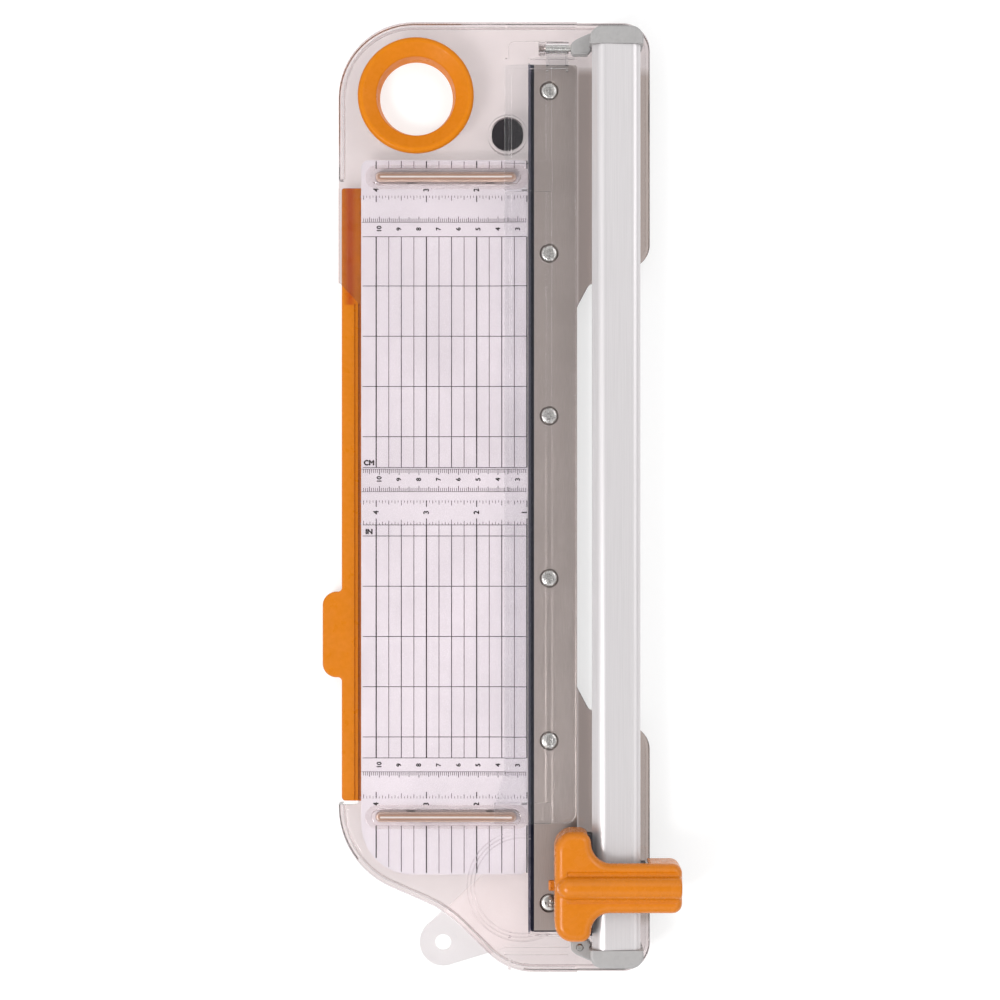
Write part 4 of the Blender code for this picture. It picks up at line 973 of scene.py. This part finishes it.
def swing_arm():
    left, right, tab_left = -80.3 * mm, ARM_HIGH.x, ARM_LOW.x
    tab_rear, tab_front = -48 * mm, -91.5 * mm
    corners = [(left, ARM_HIGH.y, 1.2 * mm), (left, tab_rear, 2 * mm), (tab_left, tab_rear, 7 * mm),
               (tab_left, tab_front, 7 * mm), (left, tab_front, 2 * mm), (left, ARM_LOW.y, 2 * mm),
               (right, ARM_LOW.y, 2 * mm), (right, ARM_HIGH.y, 10 * mm)]
    pivot = circle(foot_place("arm_pivot_screw"), 4.3 * mm)
    arm = prism([rounded(corners), pivot], (ARM_LOW.z, ARM_HIGH.z), 0.7 * mm, edge_steps=4)
    for x, width, depth in ((-73.4 * mm, 1.0 * mm, 0.7 * mm), (-71.2 * mm, 1.6 * mm, 1.1 * mm)):
        cut(arm, box((x - width / 2, x + width / 2), (ARM_LOW.y - mm, 98 * mm),
                     (ARM_HIGH.z - depth, ARM_HIGH.z + mm)))
    return place(smooth(arm), "swing_arm_piece", ORANGE_SATIN, "arm", "swing_arm",
                 slot="orange_plastic")


def hang_tab():
    centre_hole = Vector((-28.9 * mm, -226.4 * mm))
    root, root_radius, head_radius = Vector((10.3 * mm, -204.2 * mm)), 21.7 * mm, 12 * mm
    along = root - centre_hole
    lean = math.asin((root_radius - head_radius) / along.length)
    heading, quarter = math.atan2(along.y, along.x), math.pi / 2
    outline = (arc(centre_hole, head_radius, heading + quarter + lean, math.pi - 2 * lean, 40)
               + arc(root, root_radius, heading - quarter - lean, math.pi + 2 * lean, 40))
    holes = [circle(centre_hole, 4 * mm), circle(foot_place("tab_rivet"), 2.3 * mm, 32)]
    tab = prism([outline] + holes, (TAB_LOW.z, TAB_HIGH.z), 0.25 * mm, edge_steps=3)
    swept = arc(centre_hole, 7.6 * mm, -0.9, 2.0, 24) + arc(centre_hole, 7.1 * mm, 1.1, -2.0, 24)
    cut(tab, prism([swept], (TAB_HIGH.z - 0.3 * mm, TAB_HIGH.z + mm)))
    return place(smooth(tab), "hang_tab_piece", WHITE, "tab", "hang_tab", slot="white_plastic")


# Rail and end caps -------------------------------------------------------------------------

def rail():
    left, right, bottom, top = RAIL_LOW.x, RAIL_HIGH.x, RAIL_LOW.z, RAIL_HIGH.z
    groove_in, groove_low, groove_high = 49.2 * mm, 25.4 * mm, 28.6 * mm
    radius = 7 * mm
    shoulder = [(left + radius - radius * math.sin(a), top - radius + radius * math.cos(a))
                for a in (step * 0.1 for step in range(11))]
    outside = shoulder + rounded([(left, 28.9 * mm, 0.1 * mm), (left, groove_high, 0.1 * mm), (groove_in, groove_high, 0),
                                  (groove_in, groove_low, 0), (left, groove_low, 0.3 * mm),
                                  (left, bottom, 1.5 * mm), (right, bottom, 1.5 * mm),
                                  (right, top, 4.2 * mm)])
    inside = rounded([(51 * mm, 31.2 * mm, 1.6 * mm), (51 * mm, 22.8 * mm, mm),
                      (68.2 * mm, 22.8 * mm, mm), (68.2 * mm, 31.2 * mm, 2.2 * mm)], 8)
    bar = prism([outside, inside], (RAIL_LOW.y - 0.2 * mm, RAIL_HIGH.y + 0.2 * mm), turn=TURN["Y"])
    return place(smooth(bar, 25), "rail_extrusion", ALUMINIUM, "base", "rail", slot="rail_aluminium")


def end_cap(name, side):
    """A round-cornered cap with its foot under the rail, a plug in it, and a curved arm."""
    low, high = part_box(name)
    end = max(abs(low.y), abs(high.y))
    joint = RAIL_HIGH.y + GAP
    left, right = RAIL_LOW.x - 1.4 * mm, RAIL_HIGH.x + 1.4 * mm

    def span(near, far):
        return tuple(sorted((side * near, side * far)))

    def flipped(corners):
        return [(x, side * y, r) for x, y, r in (corners if side > 0 else corners[::-1])]

    outline = flipped([(left, joint - 4 * mm, 3 * mm), (right, joint - 4 * mm, 3 * mm),
                       (right, end, 6.5 * mm), (left, end, 6.5 * mm)])
    block = prism([rounded(outline)], (low.z, high.z), 1.6 * mm, edge_steps=6)
    cut(block, box((0, 0.2), span(150 * mm, joint), (0, 0.1)))
    foot_part = box((47 * mm, 69 * mm), span(208 * mm, 228 * mm), (low.z, RAIL_LOW.z - GAP))
    plug = box((51.4 * mm, 67.8 * mm), span(214 * mm, 228 * mm), (23.2 * mm, 30.8 * mm))
    arm_outline = flipped([(low.x, 221.9 * mm, 2.0 * mm), (44 * mm, 221.9 * mm, 0.5 * mm),
                           (RAIL_LOW.x - 0.4 * mm, 224 * mm, 0), (RAIL_LOW.x - 0.4 * mm, 232.6 * mm, 0),
                           (43.0 * mm, 231.6 * mm, 4 * mm), (38.2 * mm, 229.4 * mm, 3 * mm),
                           (low.x, 227.4 * mm, 2.5 * mm)])
    arm = prism([rounded(arm_outline, 8)], (low.z + 4 * mm, 22 * mm), 0.9 * mm, edge_steps=4)
    cut(arm, box((0, EDGE_X + 0.3 * mm), span(200 * mm, 240 * mm), (0, DECK_TOP + GAP)))
    join(block, foot_part, plug, arm)
    for number in range(1, 5):
        x, y = foot_place(f"cap_screw_{number}")
        if y * side > 0:
            cut(block, rod("Z", (x, y), 1.8 * mm, (8 * mm, 17 * mm), 24))
    if side > 0:
        cut(block, rod("X", (PIN_CENTRE.y, PIN_CENTRE.z), 1.9 * mm, (34 * mm, 42 * mm), 32))
    else:
        cut(block, rod("Z", foot_place("front_dowel"), 1.9 * mm, (12 * mm, 24 * mm), 32))
    return place(smooth(block), name + "_cover", GREY, "base", name, slot="grey_plastic")


def plain_pin(node, axis, chamfer, name):
    """A round pin with chamfered ends, in the place of its CAD node."""
    low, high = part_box(node)
    centre = (low + high) / 2
    index = "XYZ".index(axis)
    half = (high[index] - low[index]) / 2
    radius = min((high[other] - low[other]) / 2 for other in range(3) if other != index)
    profile = [(0, -half), (radius - chamfer, -half), (radius, -half + chamfer),
               (radius, half - chamfer), (radius - chamfer, half), (0, half)]
    pin = turned(profile, centre, axis, 48)
    return place(smooth(pin, 30), name, BRIGHT, "base", node, slot="bright_steel")


def flat_washer(node, axis, hole, name, body):
    low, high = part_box(node)
    centre = (low + high) / 2
    index = "XYZ".index(axis)
    half = (high[index] - low[index]) / 2
    radius = max((high[other] - low[other]) / 2 for other in range(3) if other != index)
    edge = 0.15 * mm
    profile = [(hole, half), (radius - edge, half), (radius, half - edge), (radius, -half + edge),
               (radius - edge, -half), (hole, -half)]
    ring = turned(profile, centre, axis, 64)
    return place(smooth(ring, 30), name, BRIGHT, body, node, slot="bright_steel")


def tab_rivet():
    low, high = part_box("tab_rivet")
    x, y = foot_place("tab_rivet")
    profile = [(0, low.z), (2.4 * mm, low.z + 0.1 * mm), (3.6 * mm, low.z + 0.5 * mm),
               (4.1 * mm, low.z + 1.0 * mm), (2 * mm, low.z + 1.0 * mm), (2 * mm, high.z - 0.4 * mm),
               (1.6 * mm, high.z), (0, high.z)]
    rivet = turned(profile, (x, y, 0), segments=48)
    return place(smooth(rivet, 30), "tab_rivet_piece", BRIGHT, "base", "tab_rivet", slot="bright_steel")


# Paper guide -------------------------------------------------------------------------------

def paper_guide():
    left, right = 2.2 * mm, GUIDE_HIGH.x
    flare_x, front = GUIDE_LOW.x, GUIDE_LOW.y
    rear = 217.8 * mm
    bottom, top, low_top = GUIDE_LOW.z, GUIDE_LOW.z + 3 * mm, GUIDE_LOW.z + 2 * mm
    step_x = 26.5 * mm
    corners = [(left, rear, 2 * mm), (left, -138 * mm, 10 * mm), (flare_x, -156 * mm, 4 * mm),
               (flare_x, front, 2 * mm), (right, front, 5 * mm), (right, rear, 2 * mm)]
    guide = prism([rounded(corners, 10)], (bottom, low_top), 0.7 * mm, edge_steps=4)
    raised = corners[:4] + [(step_x, front, 2 * mm), (step_x, rear, 2 * mm)]
    upper = prism([rounded(raised, 10)], (bottom, top), 0.85 * mm, edge_steps=5)
    join(guide, upper)
    groove = [rounded(inset(raised, distance), 10) for distance in (2.0 * mm, 3.7 * mm)]
    cut(guide, prism(groove, (top - 0.9 * mm, 20 * mm), 0.6 * mm, edge_steps=4))
    outer, inner = 7.7 * mm, 6.5 * mm
    bridge_top = 17.6 * mm
    for side in (1, -1):
        y = side * FENCE_Y
        front_y = y - outer if side > 0 else front
        bridge_left = left if side > 0 else flare_x
        bridge = rounded([(bridge_left, front_y, mm), (step_x, front_y, 1.5 * mm),
                          (step_x, y + outer, 1.5 * mm), (bridge_left, y + outer, mm)], 8)
        join(guide, prism([bridge], (bottom + mm, bridge_top), 0.45 * mm, edge_steps=3))
        tunnel = rounded([(-20 * mm, y - inner, 0), (15.5 * mm, y - inner, 2 * mm),
                          (15.5 * mm, y + inner, 2 * mm), (-20 * mm, y + inner, 0)], 8)
        cut(guide, prism([tunnel], (10 * mm, FENCE_HIGH.z + 0.5 * mm)))
    hinge_left, hinge_right = 23.2 * mm, 34.4 * mm
    axis = (PIN_CENTRE.y, PIN_CENTRE.z)
    knuckle = rod("X", axis, 3.3 * mm, (hinge_left, hinge_right), 64)
    leaf = box((hinge_left, hinge_right), (rear - 2 * mm, axis[0]), (13.6 * mm, 15.2 * mm))
    bake(soften(leaf, 0.5 * mm, 3))
    join(guide, knuckle, leaf)
    for x in (hinge_left + 0.7 * mm, hinge_right - 0.7 * mm):
        gusset = box((x - 0.7 * mm, x + 0.7 * mm), (rear - 3.5 * mm, axis[0]), (14 * mm, 18 * mm))
        join(guide, bake(soften(gusset, 0.35 * mm, 3)))
    cut(guide, rod("X", axis, 1.9 * mm, (20 * mm, 38 * mm), 48))
    return place(smooth(guide), "guide_flap", CLEAR_GUIDE, "guide", "paper_guide", slot="clear_guide")


# Carriage ----------------------------------------------------------------------------------

HEAD_SIDE = 44.5 * mm
HEAD_HALF = 27.2 * mm
GRIP_BOTTOM, HEAD_BOTTOM = HEAD_LOW.z, HEAD_LOW.z + 4 * mm
HEAD_TOP = GRIP_BOTTOM + 26 * mm
RIDGE_RADIUS = 5.8 * mm
RIDGE_Z = HEAD_HIGH.z - RIDGE_RADIUS
HOUSING_CEILING, HANDLE_CEILING = HEAD_TOP - 4.3 * mm, HEAD_TOP - 2.8 * mm


def along_rail(low, high):
    return CARRIAGE_Y + low, CARRIAGE_Y + high


def release_place():
    low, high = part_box("release_tab")
    return (low.y + high.y) / 2, (low.z + 1.4 * mm, high.z - 1.4 * mm)


def head_outline():
    y, left, right = CARRIAGE_Y, HEAD_LOW.x, HEAD_HIGH.x
    near, far = -13.0 * mm, 11.6 * mm
    neck = HEAD_SIDE + 1.5 * mm
    return [(left, y + HEAD_HALF, 9 * mm), (left, y - HEAD_HALF, 9 * mm),
            (HEAD_SIDE, y - HEAD_HALF, 5.5 * mm), (neck, y + near, 9 * mm),
            (right, y + near, 4.8 * mm), (right, y + far, 4.8 * mm),
            (neck, y + far, 10 * mm), (HEAD_SIDE, y + HEAD_HALF, 5.5 * mm)]


def hollow():
    """The space inside the lobes, with the same round corners as the shell outside it."""
    near, far = along_rail(-25.2 * mm, 25.2 * mm)
    corners = [(28.9 * mm, far, 7.5 * mm), (28.9 * mm, near, 7.5 * mm),
               (45.6 * mm, near, 0), (45.6 * mm, far, 0)]
    return prism([rounded(corners, 8)], (10 * mm, HOUSING_CEILING))


def press_head():
    outline = rounded(head_outline())
    head = prism([outline], (GRIP_BOTTOM, HEAD_TOP), 4.4 * mm, edge_steps=8)
    left, right = HEAD_LOW.x + 1.2 * mm + RIDGE_RADIUS, HEAD_HIGH.x - 0.4 * mm
    dome = [(RIDGE_RADIUS * math.sin(a), left - RIDGE_RADIUS * math.cos(a))
            for a in (0, 0.2, 0.4, 0.6, 0.8, 1.0, 1.2, 1.4)]
    profile = dome + [(RIDGE_RADIUS, left), (RIDGE_RADIUS, right - mm),
                      (RIDGE_RADIUS - mm, right), (0, right)]
    join(head, turned(profile, (0, CARRIAGE_Y, RIDGE_Z), "X"))
    for side in (-1, 1):
        groove_y = CARRIAGE_Y + side * (RIDGE_RADIUS + 0.9 * mm)
        span = (HEAD_LOW.x + 6 * mm, HEAD_HIGH.x + 2 * mm)
        depth = 1.5 * mm if side > 0 else 1.1 * mm
        cut(head, rod("X", (groove_y, HEAD_TOP + 0.5 * mm), depth, span, 31))
    everywhere = along_rail(-60 * mm, 60 * mm)
    low = 10 * mm
    cut(head, box((0, 73.6 * mm), everywhere, (low, HEAD_BOTTOM)),
        box((44.9 * mm, 73.6 * mm), everywhere, (low, 37.8 * mm)),
        hollow(),
        box((44 * mm, 88.2 * mm), along_rail(-10.2 * mm, 10.2 * mm), (low, HANDLE_CEILING)))
    room = (BLADE_HIGH.y - BLADE_LOW.y) / 2 + 0.5 * mm
    cut(head, rod("X", (CARRIAGE_Y, BLADE_CENTRE.z), room, (BLADE_LOW.x - 0.8 * mm, BLADE_HIGH.x + 0.8 * mm)))
    y, (bottom, top) = release_place()
    cut(head, box((20 * mm, 30 * mm), (y - 3.1 * mm, y + 3.1 * mm), (bottom - 0.5 * mm, top + 0.5 * mm)))
    melt(head, 0.4 * mm, 7)
    return place(head, "press_head_shell", ORANGE, "head", "press_head", slot="orange_plastic")


def release_tab():
    y, (bottom, top) = release_place()
    low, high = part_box("release_tab")
    stem = box((low.x, high.x - 0.8 * mm), (y - 2.6 * mm, y + 2.6 * mm), (bottom, top))
    bake(soften(stem, 0.8 * mm, 4))
    for shift in (-1.2 * mm, 1.2 * mm):
        join(stem, ball((low.x + 1.3 * mm, y + shift, top - 0.1 * mm), 0.55 * mm))
    flange = box((high.x - 1.2 * mm, high.x), (y - 4.2 * mm, y + 4.2 * mm), (low.z, high.z))
    join(stem, bake(soften(flange, 0.3 * mm)))
    return place(smooth(stem), "release_button", ORANGE, "release", "release_tab",
                 slot="orange_plastic")


def carriage_slider():
    low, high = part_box("carriage_slider")
    long_y, short_y = along_rail(-25 * mm, 25 * mm), along_rail(-10 * mm, 10 * mm)
    left_wall = (43.4 * mm, RAIL_LOW.x - GAP)
    right_wall = (RAIL_HIGH.x + GAP, 72.8 * mm)
    bridge_z = (RAIL_HIGH.z + GAP, high.z - 0.1 * mm)
    slider = box(left_wall, long_y, (22.5 * mm, high.z))
    join(slider, box((45 * mm, 48.9 * mm), long_y, (25.8 * mm, 28.2 * mm)),
         box((44 * mm, right_wall[1]), short_y, bridge_z),
         box(right_wall, short_y, (18.4 * mm, bridge_z[1] - 0.1 * mm)),
         box((67 * mm, 71 * mm), short_y, (18.5 * mm, RAIL_LOW.z - GAP)),
         box((72 * mm, 86 * mm), along_rail(-8 * mm, 8 * mm), (18.6 * mm, 21.2 * mm)))
    for side in (-1, 1):
        near, far = sorted((side * 16.5 * mm, side * 24.5 * mm))
        ends = along_rail(near, far)
        seat = [(30.4 * mm, ends[1], 4.5 * mm if side > 0 else mm),
                (30.4 * mm, ends[0], mm if side > 0 else 4.5 * mm),
                (44 * mm, ends[0], 0), (44 * mm, ends[1], 0)]
        join(slider, prism([rounded(seat, 6)], (22.6 * mm, 24.5 * mm)))
    bake(soften(slider, 0.25 * mm, 2, 50))
    return place(smooth(slider), "slide_runner", DARK, "carriage", "carriage_slider",
                 slot="dark_plastic")


def blade_holder():
    low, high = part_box("blade_holder")
    side = box((35.2 * mm, high.x), along_rail(-9 * mm, 9 * mm), (low.z, high.z))
    bake(soften(side, 0.8 * mm, 3))
    join(side, box((low.x, high.x - 0.1 * mm), along_rail(-8.9 * mm, 8.9 * mm),
                   (36.6 * mm, high.z - 0.2 * mm)))
    cut(side, rod("X", (CARRIAGE_Y, BLADE_CENTRE.z), 2.7 * mm, (30 * mm, 38 * mm), 48))
    return place(smooth(side), "blade_bracket", GREY, "head", "blade_holder", slot="grey_plastic")


def blade_axle():
    low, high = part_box("blade_axle")
    profile = [(0, low.x), (2.1 * mm, low.x), (2.4 * mm, low.x + 0.3 * mm), (2.4 * mm, 40.1 * mm),
               (5 * mm, 40.1 * mm), (5 * mm, high.x - 0.5 * mm), (4.6 * mm, high.x - 0.1 * mm),
               (4 * mm, high.x), (1.2 * mm, high.x), (0.9 * mm, high.x - 0.6 * mm),
               (0, high.x - 0.7 * mm)]
    axle = turned(profile, (0, CARRIAGE_Y, BLADE_CENTRE.z), "X", 64)
    return place(smooth(axle, 30), "axle_bolt", BRIGHT, "head", "blade_axle", slot="bright_steel")


def blade_nut():
    low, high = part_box("blade_nut")
    centre = (CARRIAGE_Y, BLADE_CENTRE.z)
    nut = rod("X", centre, 4.2 * mm, (low.x, high.x), 6)
    cone = turned([(0, low.x - 2 * mm), (1.6 * mm, low.x - 2 * mm), (4.35 * mm, low.x + 0.5 * mm),
                   (4.35 * mm, high.x - 0.5 * mm), (1.6 * mm, high.x + 2 * mm), (0, high.x + 2 * mm)],
                  (0, *centre), "X", 64)
    combine(nut, "INTERSECT", [cone])
    cut(nut, rod("X", centre, 2.7 * mm, (low.x - mm, high.x + mm), 48))
    return place(smooth(nut, 30), "axle_nut", BRIGHT, "head", "blade_nut", slot="bright_steel")


def blade():
    half, radius = (BLADE_HIGH.x - BLADE_LOW.x) / 2, (BLADE_HIGH.y - BLADE_LOW.y) / 2
    profile = [(2.7 * mm, half), (radius - 1.6 * mm, half), (radius, 0.02 * mm),
               (radius, -0.02 * mm), (radius - 1.6 * mm, -half), (2.7 * mm, -half)]
    disc = turned(profile, BLADE_CENTRE, "X", 128)
    for index in range(3):
        angle = 2 * math.pi * index / 3
        spot = (BLADE_CENTRE.y + 7 * mm * math.cos(angle), BLADE_CENTRE.z + 7 * mm * math.sin(angle))
        cut(disc, rod("X", spot, 1.1 * mm, (BLADE_LOW.x - mm, BLADE_HIGH.x + mm), 32))
    return place(smooth(disc, 20), "blade_disc", BLADE_STEEL, "cutter", "blade", slot="blade_steel")


def spring(node, wire, turns):
    """A coil with closed ends."""
    low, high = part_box(node)
    centre = (low + high) / 2
    radius = (high.x - low.x) / 2 - wire / 2
    steps = 24
    curve = bpy.data.curves.new(node, "CURVE")
    curve.dimensions = "3D"
    curve.bevel_depth = wire / 2
    curve.bevel_resolution = 4
    curve.use_fill_caps = True
    line = curve.splines.new("POLY")
    total = turns * steps
    line.points.add(total)
    for index, point in enumerate(line.points):
        angle = 2 * math.pi * index / steps
        share = index / total
        eased = min(max((share - 0.12) / 0.76, 0), 1)
        rise = wire * min(share, 0.12) / 0.12 * 0.5 + wire * max(share - 0.88, 0) / 0.12 * 0.5
        height = low.z + wire / 2 + rise + eased * (high.z - low.z - 2 * wire)
        point.co = (centre.x + radius * math.cos(angle), centre.y + radius * math.sin(angle), height, 1)
    drawn = new_object(node, curve)
    mesh = evaluated(drawn)
    bpy.data.objects.remove(drawn)
    bm = bmesh.new()
    bm.from_mesh(mesh)
    bmesh.ops.remove_doubles(bm, verts=bm.verts, dist=1e-6)
    bmesh.ops.recalc_face_normals(bm, faces=bm.faces)
    piece = smooth(from_bmesh(node, bm), 50)
    place(piece, node + "_coil", BRIGHT, "carriage", node, slot="bright_steel")
    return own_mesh(piece)


# Studio ------------------------------------------------------------------------------------

def studio_floor():
    size = 40.0
    floor = box((-size, size), (-size, size), (-0.02, -0.0002))
    floor.name = "studio_floor"
    floor.data.materials.append(studio_floor_material())


def area_light(name, place_at, target, size, power):
    data = bpy.data.lights.new(name, "AREA")
    data.shape = "RECTANGLE"
    data.size, data.size_y = size
    data.energy = power
    lamp = bpy.data.objects.new(name, data)
    bpy.context.scene.collection.objects.link(lamp)
    lamp.location = place_at
    lamp.rotation_euler = (Vector(target) - Vector(place_at)).to_track_quat("-Z", "Y").to_euler()
    return lamp


def studio_world():
    """A white surround that is brightest half way up and dimmer straight overhead."""
    world = bpy.data.worlds.new("studio")
    bpy.context.scene.world = world
    world.use_nodes = True
    tree = world.node_tree
    background = tree.nodes["Background"]
    where = tree.nodes.new("ShaderNodeTexCoord")
    split = tree.nodes.new("ShaderNodeSeparateXYZ")
    ramp = tree.nodes.new("ShaderNodeValToRGB")
    stops = ((0.0, 0.3), (0.35, 0.5), (0.6, 1.0), (0.84, 1.15), (0.94, 0.28))
    ramp.color_ramp.elements.remove(ramp.color_ramp.elements[1])
    for index, (height, shade) in enumerate(stops):
        elements = ramp.color_ramp.elements
        stop = elements[0] if index == 0 else elements.new(height)
        stop.position, stop.color = height, (shade, shade, shade, 1)
    tree.links.new(where.outputs["Generated"], split.inputs["Vector"])
    tree.links.new(split.outputs["Z"], ramp.inputs["Fac"])
    tree.links.new(ramp.outputs["Color"], background.inputs["Color"])
    background.inputs["Strength"].default_value = 1.2


def studio():
    studio_floor()
    studio_world()
    area_light("key", (-0.9, -0.7, 1.5), (0, 0, 0), (0.5, 0.5), 15)
    area_light("fill", (1.1, 0.6, 1.3), (0, 0, 0), (0.8, 1.2), 5)
    scene = bpy.context.scene
    scene.view_settings.view_transform = "Standard"
    scene.view_settings.look = "None"


def camera():
    """Straight above, upright, with the whole trimmer in the frame."""
    height, aim_y = 1.2105, -1.5 * mm
    data = bpy.data.cameras.new("camera")
    data.sensor_width = 36
    data.lens = 85.4
    data.clip_start, data.clip_end = 0.01, 20
    lens = bpy.data.objects.new("camera", data)
    bpy.context.scene.collection.objects.link(lens)
    lens.location = (0, aim_y, height)
    lens.rotation_euler = (0, 0, 0)
    bpy.context.scene.camera = lens


def assemble():
    base_deck()
    scale_sheet()
    base_pan()
    sheet_print()
    fence("fence_rear", 1)
    fence("fence_front", -1)
    plate_bed()
    cutting_plate()
    for number in range(1, 7):
        screw_piece(f"plate_screw_{number}", 3.8 * mm)
    for number in range(1, 5):
        screw_piece(f"fence_screw_{number}", 3.0 * mm, False)
        screw_piece(f"cap_screw_{number}", 3.2 * mm, False)
    screw_piece("arm_pivot_screw", 3.6 * mm, False)
    flat_washer("arm_washer", "Z", 1.9 * mm, "arm_washer_piece", "base")
    tab_rivet()
    hang_ring()
    for name in ("foot_rear_left", "foot_rear_right", "foot_front_right", "foot_middle_left",
                 "foot_front_left"):
        foot(name)
    rail()
    end_cap("end_cap_rear", 1)
    end_cap("end_cap_front", -1)
    plain_pin("guide_pin", "X", 0.3 * mm, "guide_hinge_pin")
    plain_pin("front_dowel", "Z", 0.3 * mm, "front_dowel_pin")
    paper_guide()
    swing_arm()
    hang_tab()
    carriage_slider()
    spring("spring_grip", 0.8 * mm, 5)
    spring("spring_rear", 0.7 * mm, 5)
    spring("spring_front", 0.7 * mm, 5)
    press_head()
    blade_holder()
    blade_axle()
    blade_nut()
    flat_washer("blade_spacer", "X", 2.7 * mm, "blade_spacer_ring", "head")
    blade()
    release_tab()


assemble()
studio()
camera()
